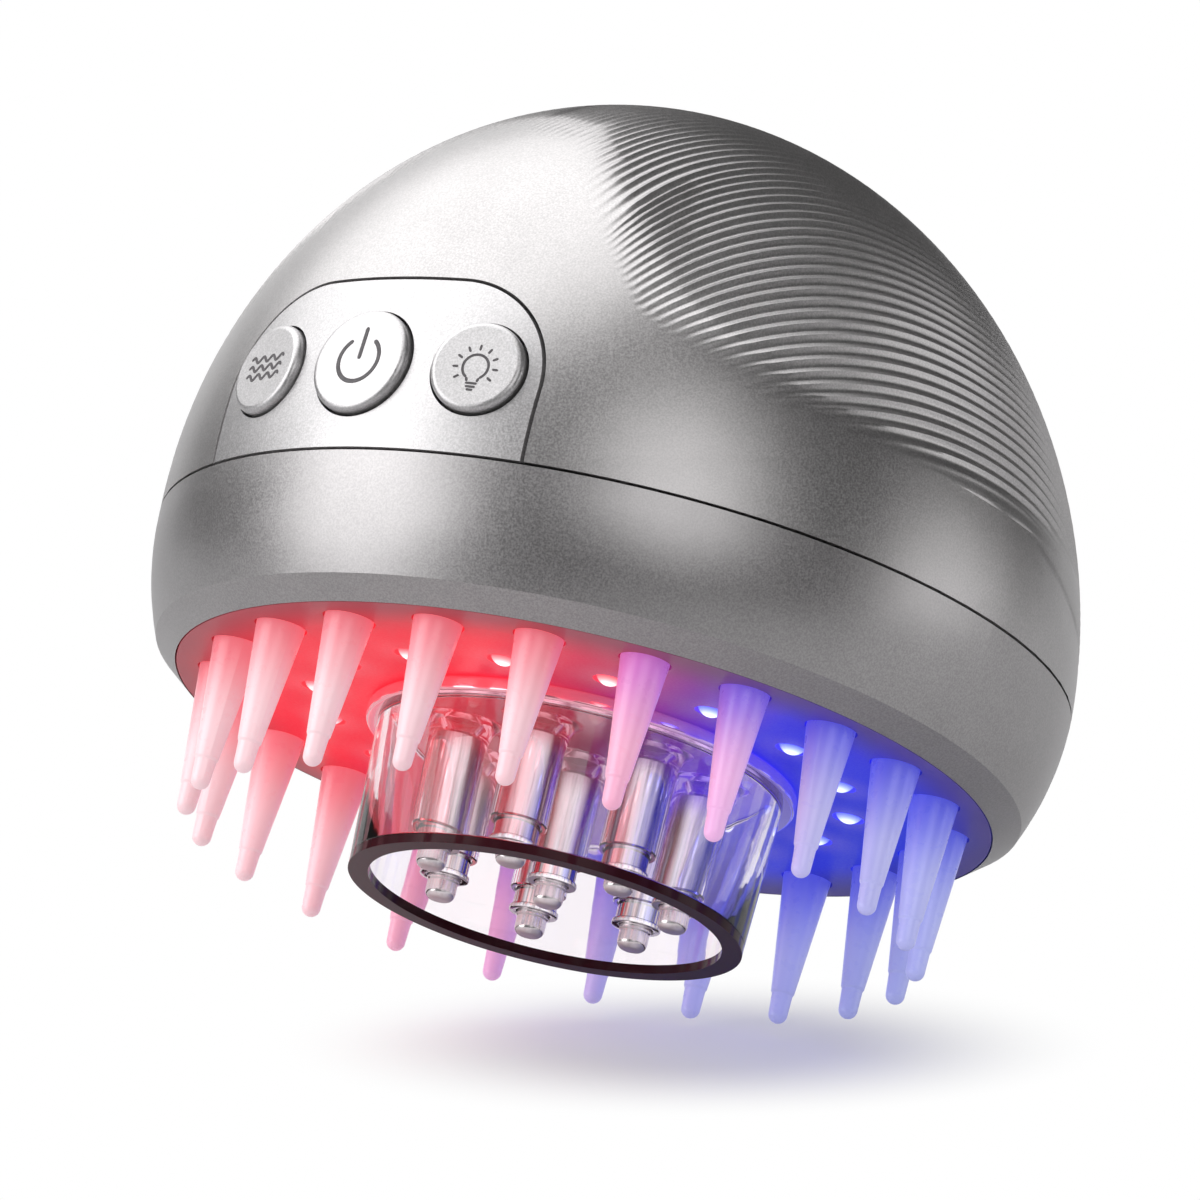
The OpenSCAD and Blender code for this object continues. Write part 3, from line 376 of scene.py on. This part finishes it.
def smooth_part(bm, back):
    """The smooth front, round the panel's opening, or the smooth back."""
    steps = rib_steps + 2 * beside
    inner = outline_chain(steps, panel_half, panel_h, panel_corner, low_rise)
    made = bmesh.ops.create_grid(bm, x_segments=steps, y_segments=smooth_rows, size=1)
    for v in made["verts"]:
        k = round((v.co.x + 1) / 2 * steps)
        out = ((v.co.y + 1) / 2) ** row_spread
        x, z = inner[k]
        if back:
            start = (asin(panel_half / body_r) * (2 * k / steps - 1), foot_height)
        else:
            start = (asin(x / (body_r * cos(z / dome_h))), asin(z / dome_h))
        if k < beside or k > steps - beside:
            climb = min(k, steps - k) / beside
            far = (-pi / 2 if k < beside else pi / 2,
                   foot_height + (edge_height - foot_height) * climb)
        else:
            number = ((k - beside) / rib_steps * 2 - 1) * last_rib
            far = on_rib(number, -1)
        azimuth = start[0] + (far[0] - start[0]) * out
        height = start[1] + (far[1] - start[1]) * out
        v.co = on_dome(pi - azimuth if back else azimuth, height)


shell = bmesh.new()
smooth_part(shell, False)
smooth_part(shell, True)
made = bmesh.ops.create_grid(shell, x_segments=rib_steps, y_segments=along_rib, size=1)
for v in made["verts"]:
    v.co = on_dome(*on_rib(v.co.x * last_rib, v.co.y))
bmesh.ops.remove_doubles(shell, verts=shell.verts, dist=0.01)
bmesh.ops.recalc_face_normals(shell, faces=shell.faces)
bmesh.ops.solidify(shell, geom=list(shell.faces), thickness=wall)


def rib_number(x, back, rise):
    """Which rib a point of the dome lies on, counted down from the crown."""
    def below(number):
        x0, z0, dx, dz, turn = rib_cut(number)
        return (x - x0) * dz - (rise - z0) * dx + inward(turn, back) > 0
    return furthest(below, last_rib, 18)


# The ribs are sunk into the outer skin only, and die out towards the grip's edge
for v in shell.verts:
    x, rise = abs(v.co.x), v.co.z - seam_z
    back = v.co.y + lean * rise
    ratio = sqrt((x / body_r) ** 2 + (back / body_r) ** 2 + (rise / dome_h) ** 2)
    depth = grip_depth(x, rise) if ratio > 0.99 else 0.0
    if depth > 0:
        fade = min(1.0, depth / rib_fade)
        fade = fade * fade * (3 - 2 * fade)
        wave = 0.5 + 0.5 * cos(2 * pi * rib_number(x, back, rise))
        sink = rib_depth * fade * wave ** rib_round
        normal = Vector((v.co.x / body_r ** 2, back / body_r ** 2, rise / dome_h ** 2))
        v.co -= normal.normalized() * sink

silver = satin_paint("silver_paint", (0.43, 0.418, 0.419), 0.3)
piece("dome_shell", shell, silver, replaces=["upper_shell"])


def dress(finish, *names):
    """Gives CAD nodes whose shape is right a finish of their own."""
    for name in names:
        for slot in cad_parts[name].material_slots:
            slot.material = finish.block


# Control panel and buttons
# Moulded panel, flush in the shell's front, and three caps with rolled edges. They wear the
# shell's paint a shade lighter. The caps slide in the panel and rest on silicone domes.
panel_silver = satin_paint("panel_silver", (0.5, 0.49, 0.495))
dress(panel_silver, "control_panel", "wave_button", "power_button", "light_button")

# Button marks
# Thin lines cut into the caps and filled with dark ink: waves for the motor, the power sign in
# the middle, and a lamp for the lights.
spread, tilt, face_r, front_r, button_rise = radians(16.2), radians(5.5), 46.36, 45.448, 8.8
button_foot = Vector((0, 0, seam_z + button_rise - front_r * tan(tilt)))
ink = Finish("mark_ink")
ink.output(ink.surface(
    Base_Color=ink.mix(ink.noise(3000, 3), (0.05, 0.045, 0.05), (0.09, 0.08, 0.085)),
    Roughness=ink.ease(ink.noise(2000), 0.3, 0.7, 0.4, 0.6),
))


def on_button(place, x, up, out):
    """Point on a button's face: x to the right, up along the face, out of it."""
    turn = Matrix.Rotation(place * spread, 3, "Z")
    axis, rise = Vector((0, -cos(tilt), sin(tilt))), Vector((0, sin(tilt), cos(tilt)))
    return button_foot + turn @ (axis * (face_r + out) + Vector((x, 0, 0)) + rise * up)


def stroke(bm, place, line, length, width, steps=24):
    """A line with rounded ends on a button; its sides stand a little above its middle."""
    near = 0.005
    edge, proud, rim = -0.02, 0.02, 0.05
    made = bmesh.ops.create_grid(bm, x_segments=steps, y_segments=6, size=1)
    for v in made["verts"]:
        t, q = 0.5 - 0.5 * cos(pi * (v.co.x + 1) / 2), v.co.y
        x, up = line(t)
        x0, up0 = line(max(0.0, t - near))
        x1, up1 = line(min(1.0, t + near))
        along = Vector((x1 - x0, up1 - up0)).normalized()
        end = min(1.0, 2 * min(t, 1 - t) * length / width)
        half = width / 2 * sqrt(1 - (1 - end) ** 2)
        out = edge if abs(q) > 0.99 else proud + rim * q * q
        v.co = on_button(place, x - along.y * half * q, up + along.x * half * q, out)


def straight(start, end):
    return lambda t: (start[0] + (end[0] - start[0]) * t, start[1] + (end[1] - start[1]) * t)


def bow(centre, r, first, last):
    """Arc between two angles, counted clockwise from straight up, in degrees."""
    def line(t):
        turn = radians(first + (last - first) * t)
        return centre[0] + r * sin(turn), centre[1] + r * cos(turn)
    return line


def ripple(up):
    width, height, waves = 5.2, 0.28, 3.5
    return lambda t: (width * (t - 0.5), up + height * sin(2 * pi * waves * t))


power = bmesh.new()
stroke(power, 0, straight((0, 0), (0, 3.4)), 3.4, 0.52)
stroke(power, 0, bow((0, 0), 2.35, 33, 327), 12, 0.52, 72)
waves = bmesh.new()
for up in (-0.95, 0, 0.95):
    stroke(waves, -1, ripple(up), 6.6, 0.38, 84)
lamp = bmesh.new()
middle = (0, -0.2)
stroke(lamp, 1, bow(middle, 1.3, -150, 150), 6.8, 0.3, 60)
for side in (-1, 1):
    stroke(lamp, 1, straight((side * 0.65, -1.33), (side * 0.5, -1.75)), 0.45, 0.3)
for low_end, half in ((-1.92, 0.6), (-2.28, 0.52), (-2.6, 0.35)):
    stroke(lamp, 1, straight((-half, low_end), (half, low_end)), 2 * half, 0.28)
for turn in (-124, -93, -62, -31, 0, 31, 62, 93, 124):
    inner, outer = bow(middle, 1.75, turn, turn)(0), bow(middle, 2.35, turn, turn)(0)
    stroke(lamp, 1, straight(inner, outer), 0.6, 0.28)
marks = (("power_mark", power, "power_button"), ("wave_mark", waves, "wave_button"),
         ("lamp_mark", lamp, "light_button"))
for name, bm, button in marks:
    bmesh.ops.remove_doubles(bm, verts=bm.verts, dist=0.0005)
    bmesh.ops.recalc_face_normals(bm, faces=bm.faces)
    piece(name, bm, ink, body=button)

# Lower ring
# Moulded ring with a bulged wall, a broad chamfer round the underside, and the charging slot at
# the back. It wears the dome's satin paint in a darker tone.
ring_silver = satin_paint("ring_silver", (0.38, 0.368, 0.371), 0.3)
dress(ring_silver, "lower_ring")


# Base plate
# Satin moulded plate that covers the underside. The lenses' light is painted into its colour and
# its glow, red on one half and blue on the other, fading towards the edge.
red_to_blue = (7.59, 9.93, 0)
light_circle, light_step, first_light = 0.0266, 0.3927, 0.918


def colour_side(finish, at):
    """0 deep in the red half, 0.5 on the line between the halves, 1 deep in the blue one."""
    return finish.dot(at, red_to_blue) + 0.5


def radius(finish, at):
    x, y, _ = finish.split(at)
    return (x * x + y * y) ** 0.5


def lens_distance(finish, at):
    """Distance from the middle of the nearest light, in metres."""
    x, y, _ = finish.split(at)
    turn = finish.node("Math", {"operation": "ARCTAN2"}, {0: x, 1: y * -1})
    around = (turn - first_light) / light_step + 16
    step = finish.node("Math", {"operation": "FRACT"}, {0: around})
    arc = (step - 0.5) * light_step * light_circle
    out = radius(finish, at) - light_circle
    return (arc * arc + out * out) ** 0.5


def ramp(finish, share, stops):
    return finish.node("ValToRGB", {"stops": stops}, {"Fac": share}, out="Color")


plate = Finish("base_plate")
at = plate.place()
# Painted lens light: red on one half of the plate and blue on the other.
painted_lens_light = ramp(plate, colour_side(plate, at), [
    (0.0, (0.85, 0.03, 0.055)), (0.28, (0.95, 0.03, 0.055)), (0.42, (0.56, 0.04, 0.11)),
    (0.53, (0.22, 0.045, 0.36)), (0.64, (0.045, 0.04, 0.78)), (1.0, (0.025, 0.06, 0.72)),
])
# The painted light fades to the plate's own grey-pink towards the edge, and pales into a painted
# pool of light round each lens.
fade = plate.ease(radius(plate, at), 0.031, 0.0405, 1.0, 0.24)
painted_light_pool = plate.ease(lens_distance(plate, at), 0.005, 0.001, 0.0, 0.12)
pale = plate.mix(painted_light_pool, painted_lens_light, (1, 0.75, 0.85))
grain = plate.noise(4200, 3, 0.6)
tinge = plate.mix(plate.ease(grain, 0.3, 0.7), (0.2, 0.12, 0.14), (0.24, 0.15, 0.17))
# The plate glows with the painted lens light.
plate.output(plate.surface(
    Base_Color=plate.mix(fade, tinge, painted_lens_light), Roughness=plate.ease(grain, 0.3, 0.7, 0.3, 0.4),
    Emission_Color=plate.scale(pale, fade), Emission_Strength=0.42, IOR=1.25,
    Normal=plate.bump(grain, 0.00003, 0.4),
))
dress(plate, "base_plate")

# Comb teeth
# Milky silicone teeth on one silicone ring behind the plate. The lenses' light is painted into
# their colour and glow: red or blue at the roots by side, fading to paler tips.
silicone = Finish("tooth_silicone")
at = silicone.place()
side = colour_side(silicone, at)
# Painted lens light at the roots, red or blue by side.
painted_root_light = ramp(silicone, side, [
    (0.1, (0.95, 0.22, 0.27)), (0.33, (0.95, 0.2, 0.26)), (0.43, (0.72, 0.2, 0.68)),
    (0.56, (0.24, 0.14, 0.86)), (0.7, (0.12, 0.12, 0.86)), (0.95, (0.13, 0.15, 0.86)),
])
# The tips' colour: the silicone's pale tone, tinted by painted lens light by side.
tip = ramp(silicone, side, [
    (0.1, (0.92, 0.66, 0.7)), (0.33, (0.95, 0.62, 0.68)), (0.44, (0.96, 0.46, 0.65)),
    (0.57, (0.93, 0.5, 0.85)), (0.7, (0.56, 0.54, 0.95)), (0.95, (0.48, 0.52, 0.95)),
])
# The painted light fades from the roots towards the tips.
painted_light_falloff = silicone.ease(silicone.split(at)[2] + silicone.noise(160, 1) * 0.002, 0.0185, 0.008)
tooth_colour_and_lens_light = silicone.mix(painted_light_falloff, painted_root_light, tip)
# The same colour also glows as painted lens light.
silicone.output(silicone.surface(
    Base_Color=silicone.scale(tooth_colour_and_lens_light, 0.78),
    Roughness=silicone.ease(silicone.noise(900, 3), 0.3, 0.7, 0.26, 0.36),
    IOR=1.41, Coat_Weight=0.3, Coat_Roughness=0.15,
    Emission_Color=tooth_colour_and_lens_light, Emission_Strength=0.42,
    Normal=silicone.bump(silicone.noise(400, 1), 0.00002, 0.3),
))
dress(silicone, "comb_teeth", "comb_ring")


# Lights
# Sixteen domed lenses in a circle, eight red and eight blue, that glow with a white heart.
def light_lens(name, colour, heart):
    glass = Finish(name)
    core = glass.ease(lens_distance(glass, glass.place()), 0.0013, 0.0003)
    return glass.output(glass.surface(
        Base_Color=colour, Roughness=glass.ease(glass.noise(1500), 0.3, 0.7, 0.08, 0.16),
        Coat_Weight=0.6, Emission_Color=glass.mix(core, colour, heart), Emission_Strength=1.8,
    ))


dress(light_lens("red_lens", (1.0, 0.06, 0.08), (1.0, 0.8, 0.8)), "red_leds")
dress(light_lens("blue_lens", (0.07, 0.1, 1.0), (0.75, 0.85, 1.0)), "blue_leds")


# Applicator
# Clear moulded cup with a polished flange and, on the disc behind it, a funnel and a sleeve for
# each nozzle. The mouth has a bonded smoky rim. The flange, the disc and the funnels wear painted
# red and blue lens light, as colour and glow.
def rounded(corners, r, steps=4):
    """A profile of radius and height with its corners rounded."""
    line = []
    for k, (x, z) in enumerate(corners):
        here = Vector((x, z))
        before = Vector(corners[k - 1])
        after = Vector(corners[(k + 1) % len(corners)])
        cut = min(r, (before - here).length * 0.45, (after - here).length * 0.45)
        start = here + (before - here).normalized() * cut
        end = here + (after - here).normalized() * cut
        for j in range(steps + 1):
            t = j / steps
            line.append(start * (1 - t) ** 2 + here * 2 * t * (1 - t) + end * t * t)
    return line


def spin_round(bm, line, spot=(0, 0), steps=96):
    """Spins a profile round an upright axis; it is closed unless it starts on the axis."""
    verts = [bm.verts.new((spot[0] + r, spot[1], z)) for r, z in line]
    first = 1 if line[0][0] == 0 else 0
    edges = [bm.edges.new((verts[k - 1], verts[k])) for k in range(first, len(verts))]
    bmesh.ops.spin(bm, geom=verts + edges, cent=(*spot, 0), axis=(0, 0, 1), angle=2 * pi,
                   steps=steps, use_merge=True)


def closed(bm):
    bmesh.ops.remove_doubles(bm, verts=bm.verts, dist=0.001)
    bmesh.ops.dissolve_degenerate(bm, edges=bm.edges, dist=0.0005)
    bmesh.ops.recalc_face_normals(bm, faces=bm.faces)
    return bm


acrylic = Finish("clear_plastic")
haze = acrylic.noise(900, 3, 0.6)
acrylic.output(acrylic.surface(
    Base_Color=(0.96, 0.91, 0.94), Roughness=acrylic.ease(haze, 0.35, 0.75, 0.015, 0.04),
    Transmission_Weight=1.0, IOR=1.49,
    Normal=acrylic.bump(acrylic.noise(240, 2), 0.00006, 0.25),
))
cup = bmesh.new()
cup_line = rounded([(18.1, 0.9), (19.6, 0.9), (20.2, 15.0), (18.7, 15.0)], 0.15)
spin_round(cup, cup_line, steps=144)
piece("cup_wall", closed(cup), acrylic, "applicator", ["applicator_cup"])

polish = Finish("polished_flange")
side = colour_side(polish, polish.place())
# Painted reflection of the lens light: red or blue by side, in the flange's colour and glow.
painted_lens_glint = ramp(polish, side, [
    (0.2, (0.9, 0.12, 0.17)), (0.45, (0.85, 0.25, 0.36)), (0.6, (0.42, 0.2, 0.85)),
    (0.8, (0.14, 0.15, 0.9)),
])
polish.output(polish.surface(
    Base_Color=polish.mix(0.4, painted_lens_glint, (0.95, 0.93, 0.95)), Metallic=0.85,
    Roughness=polish.ease(polish.noise(700, 3), 0.3, 0.7, 0.05, 0.12),
    Emission_Color=painted_lens_glint, Emission_Strength=0.22,
))
flange = bmesh.new()
flange_line = rounded([(19.4, 15.0), (21.4, 15.0), (21.4, 16.45), (19.4, 16.45)], 0.35)
spin_round(flange, flange_line, steps=144)
piece("cup_flange", closed(flange), polish, "applicator")

# The disc behind the nozzles wears painted lens light, red or blue by side, as its colour and its
# glow.
disc = Finish("lit_disc")
at = disc.place()
painted_disc_light = [
    (0.22, (0.7, 0.02, 0.035)), (0.4, (0.36, 0.02, 0.04)), (0.5, (0.16, 0.02, 0.06)),
    (0.6, (0.12, 0.03, 0.4)), (0.8, (0.06, 0.06, 0.8)),
]
lit = ramp(disc, colour_side(disc, at), painted_disc_light)
disc.output(disc.surface(
    Base_Color=lit, Roughness=disc.ease(disc.noise(600, 3), 0.3, 0.7, 0.12, 0.25), IOR=1.49,
    Emission_Color=lit, Emission_Strength=0.55,
    Normal=disc.bump(disc.noise(240, 2), 0.00006, 0.3),
))
dress(disc, "nozzle_plate")

sleeves = bmesh.new()
nozzle_circle, first_nozzle = 12.4, radians(-32.6)
angles = [first_nozzle + 2 * pi / 7 * k for k in range(7)]
spots = [(nozzle_circle * sin(a), -nozzle_circle * cos(a)) for a in angles] + [(0, 0)]
bell = [(2.8 + 1.15 * (1 - cos(pi / 12 * t)), 12.6 + 2.35 * sin(pi / 12 * t)) for t in range(7)]
sleeve_line = [(2.27, 5.12), (2.4, 5.0), (2.68, 5.0), (2.8, 5.12), *bell,
               (1.7, 14.95), (1.05, 13.6), (2.27, 13.55)]
for spot in spots:
    spin_round(sleeves, sleeve_line, spot)
funnel = Finish("sleeve_plastic")
at = funnel.place()
# Painted lens light: the funnels take the disc's red and blue colour and glow towards their tops,
# near the disc.
lit = ramp(funnel, colour_side(funnel, at), painted_disc_light)
up = funnel.ease(funnel.split(at)[2] + funnel.noise(300, 2) * 0.0006, 0.0115, 0.0145)
painted_light_tint = funnel.mix(0.35, lit, (1, 0.9, 0.95))
funnel.output(funnel.surface(
    Base_Color=funnel.mix(up, (0.985, 0.975, 0.985), painted_light_tint), Roughness=0.03,
    Transmission_Weight=1.0, IOR=1.4, Emission_Color=funnel.mix(up, (0, 0, 0), lit),
    Emission_Strength=0.25,
))
piece("sleeve_set", closed(sleeves), funnel, "applicator", ["nozzle_sleeves"])

smoke = Finish("smoky_rim")
smoke.output(smoke.surface(
    Base_Color=smoke.mix(smoke.noise(700, 2), (0.03, 0.006, 0.01), (0.05, 0.012, 0.018)),
    Roughness=smoke.ease(smoke.noise(1100, 2), 0.3, 0.7, 0.05, 0.1), IOR=1.18,
))
dress(smoke, "cup_rim")


# Nozzles
# Eight polished tubes with a collar at the foot. Each holds a spring and a satin tip that gives
# way when it is pressed on the skin and lets serum past.
def metal(name, tone, low, high, drawn=(1, 1, 1), scale=2400, depth=0.00001, edge=0.0,
          painted_highlight=0.0):
    """Bare metal with fine marks, drawn out where it was turned, and a painted highlight: a pale
    glow where the surface faces the view.
    """
    made = Finish(name)
    at = made.node("VectorMath", {"operation": "MULTIPLY"}, {0: made.place(), 1: drawn})
    marks = made.noise(scale, 4, 0.65, at)
    wear = made.noise(300, 2, 0.5)
    dull = tuple(0.86 * part for part in tone)
    facing = made.node("LayerWeight", None, {"Blend": 0.5}, out="Facing")
    # Painted highlight: a pale glow where the surface faces the view, broken by the marks.
    core = made.ease(facing, edge, 0.05) * made.ease(marks, 0.38, 0.58, 0.4, 1.0)
    return made.output(made.surface(
        Base_Color=made.mix(made.ease(wear, 0.35, 0.7), dull, tone), Metallic=1.0,
        Roughness=made.ease(marks, 0.3, 0.7, low, high), Normal=made.bump(marks, depth, 0.3),
        Emission_Color=made.mix(core, (0, 0, 0), (1, 0.97, 1)), Emission_Strength=painted_highlight,
    ))


tubes = bmesh.new()
tube_line = rounded([(1.71, 2.8), (2.45, 2.8), (2.45, 3.3), (2.2, 3.3), (2.2, 13.45),
                     (1.0, 13.45), (1.0, 12.7), (1.9, 12.7), (1.9, 4.5), (1.71, 4.5)], 0.14, 3)
for spot in spots:
    spin_round(tubes, tube_line, spot)
# The tubes carry a strong painted highlight down their middles.
chrome = metal("tube_chrome", (0.6, 0.56, 0.58), 0.05, 0.11, (1, 1, 0.04), 1300, 0.000001,
               0.4, 0.75)
piece("tube_set", closed(tubes), chrome, "applicator", ["nozzle_tubes"], 30)

# The tips carry a faint painted highlight.
tip_steel = metal("tip_steel", (0.78, 0.7, 0.72), 0.16, 0.26, (1, 1, 0.3), 1200, 0.000001,
                  0.5, 0.2)
nose = [(0.72 + 0.78 * sin(pi / 12 * t), 1.35 - 0.85 * cos(pi / 12 * t)) for t in range(7)]
pin_line = [(0.0, 0.5), (0.4, 0.5), *nose, (1.5, 2.3), (1.64, 2.45), (1.64, 4.5), (1.84, 4.5),
            (1.84, 5.1), (0.0, 5.1)]
for k, spot in enumerate(spots, 1):
    pin = bmesh.new()
    spin_round(pin, pin_line, spot, 64)
    piece(f"pin_{k}", closed(pin), tip_steel, f"nozzle_tip_{k}", [f"nozzle_tip_{k}"],
          40)

spring_steel = metal("spring_steel", (0.62, 0.62, 0.64), 0.15, 0.3)
coil_r, wire_r, spring_low, spring_top = 1.55, 0.2, 5.1, 12.7
for k, (x, y) in enumerate(spots, 1):
    coil = bmesh.new()
    bmesh.ops.create_circle(
        coil, segments=10, radius=wire_r,
        matrix=Matrix.Translation((x + coil_r, y, spring_low + wire_r))
        @ Matrix.Rotation(pi / 2, 4, "X"),
    )
    last = coil.verts[:] + coil.edges[:]
    for rounds, rise in ((1, 0.42), (4, 6.36), (1, 0.42)):
        steps = 24 * rounds
        last = bmesh.ops.spin(coil, geom=last, cent=(x, y, 0), axis=(0, 0, 1),
                              dvec=(0, 0, rise / steps), angle=2 * pi * rounds,
                              steps=steps)["geom_last"]
    bmesh.ops.holes_fill(coil, edges=[edge for edge in coil.edges if edge.is_boundary])
    spring = piece(f"spring_{k}", closed(coil), spring_steel, "applicator",
                   [f"nozzle_spring_{k}"], 60)
    x * mm
    y * mm
    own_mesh(spring)


# Seals, gasket, foam ring and switches
# Black rubber seals in the joint and on the spigot, a foam ring on the tank, and moulded
# push switches with a black body.
def plain(name, dark, pale, low, high, scale=1200, depth=0.00003, **more):
    """Moulded plastic, rubber or film with a fine grain."""
    made = Finish(name)
    grain = made.noise(scale, 4, 0.6)
    return made.output(made.surface(
        Base_Color=made.mix(made.ease(grain, 0.3, 0.7), dark, pale),
        Roughness=made.ease(made.noise(scale / 3, 3), 0.3, 0.7, low, high),
        Normal=made.bump(grain, depth, 0.5), **more,
    ))


black = plain("black_rubber", (0.025, 0.025, 0.028), (0.06, 0.06, 0.065), 0.5, 0.7)
dress(black, "cup_seal", "seam_gasket", "tact_switches")
foam = plain("foam", (0.02, 0.02, 0.022), (0.09, 0.09, 0.095), 0.85, 0.95, 2600, 0.0003)
dress(foam, "tank_pad")

# Button domes
# Three hollow silicone cones between the caps and the switches, which push the caps back out.
clear_silicone = plain("clear_silicone", (0.8, 0.8, 0.78), (0.88, 0.88, 0.86), 0.35, 0.5, 700,
                       Transmission_Weight=0.3, IOR=1.41)
switch_r = 39.305
dome_line = [(0.0, 1.1), (1.7, 1.1), (2.8, 0.0), (3.4, 0.0), (2.3, 1.8), (0.0, 1.8)]
for name, side in (("wave", -1), ("power", 0), ("light", 1)):
    out = Matrix.Rotation(spread * side, 4, "Z") @ Matrix.Rotation(pi / 2 - tilt, 4, "X")
    foot = Matrix.Translation(button_foot) @ out @ Matrix.Translation((0, 0, switch_r))
    cone = bmesh.new()
    spin_round(cone, dome_line, steps=48)
    bmesh.ops.transform(cone, verts=cone.verts, matrix=foot)
    dome = piece(f"dome_{name}", closed(cone), clear_silicone, "body",
                 ["key_domes"] if side == 0 else ())
    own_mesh(dome)

# Circuit boards
# Green lacquered boards with pale tracks, and the black parts that are soldered on them.
board = Finish("circuit_board")
tracks = board.node(
    "TexBrick", {"offset": 0.37, "squash": 1.6},
    {"Vector": board.place(), "Scale": 420.0, "Mortar Size": 0.045, "Mortar Smooth": 0.2},
    out="Fac",
)
lacquer = board.noise(800, 3)
board.output(board.surface(
    Base_Color=board.mix(tracks, board.mix(lacquer, (0.015, 0.13, 0.05), (0.03, 0.2, 0.08)),
                         (0.12, 0.42, 0.2)),
    Roughness=board.ease(lacquer, 0.3, 0.7, 0.25, 0.4), Coat_Weight=0.3,
    Normal=board.bump(tracks, 0.00005, 0.5),
))
dress(board, "light_board", "switch_board", "main_board", "charge_board")
chips = plain("chip_black", (0.015, 0.015, 0.017), (0.06, 0.06, 0.065), 0.4, 0.6, 3000)
dress(chips, "board_parts")

# Frame
# Dark glass-filled plastic: the plate on the shell's posts, the bracket behind the switches, and
# the saddles of the cell and the motor.
dress(plain("frame_plastic", (0.13, 0.13, 0.14), (0.2, 0.2, 0.21), 0.5, 0.65, 1800, 0.00006),
      "frame_plate", "switch_bracket", "battery_cradle", "motor_clamp")

# Serum tank
# Blow-moulded, translucent, with a neck that takes the applicator's spigot.
dress(plain("tank_plastic", (0.78, 0.83, 0.86), (0.88, 0.91, 0.93), 0.3, 0.42, 500, 0.00004,
            Transmission_Weight=0.55, IOR=1.49), "serum_tank")

# Power
# A cell in a blue film sleeve with red leads, and a plated motor with a cast eccentric weight.
film = Finish("battery_sleeve")
bands = film.node("TexWave", {"wave_type": "BANDS", "bands_direction": "X"},
                  {"Vector": film.place(), "Scale": 60.0, "Distortion": 0.4}, out="Fac")
film.output(film.surface(
    Base_Color=film.mix(film.ease(bands, 0.86, 0.9), (0.03, 0.14, 0.4), (0.5, 0.56, 0.62)),
    Roughness=film.ease(film.noise(500, 3), 0.3, 0.7, 0.22, 0.36), Coat_Weight=0.4,
))
dress(film, "battery")
dress(plain("lead_red", (0.42, 0.02, 0.02), (0.58, 0.05, 0.04), 0.35, 0.5), "battery_leads")
motor_steel = metal("motor_steel", (0.66, 0.67, 0.69), 0.2, 0.34, (0.08, 1, 1))
dress(motor_steel, "motor", "charge_socket")
dress(metal("weight_metal", (0.55, 0.5, 0.4), 0.35, 0.5, scale=900), "motor_weight")

# Screws
# Zinc-plated screws: four join the shells from below, five hold the frame and the bracket.
zinc = metal("screw_steel", (0.5, 0.5, 0.52), 0.25, 0.4, scale=3000)
dress(zinc, "case_screws", "frame_screws")
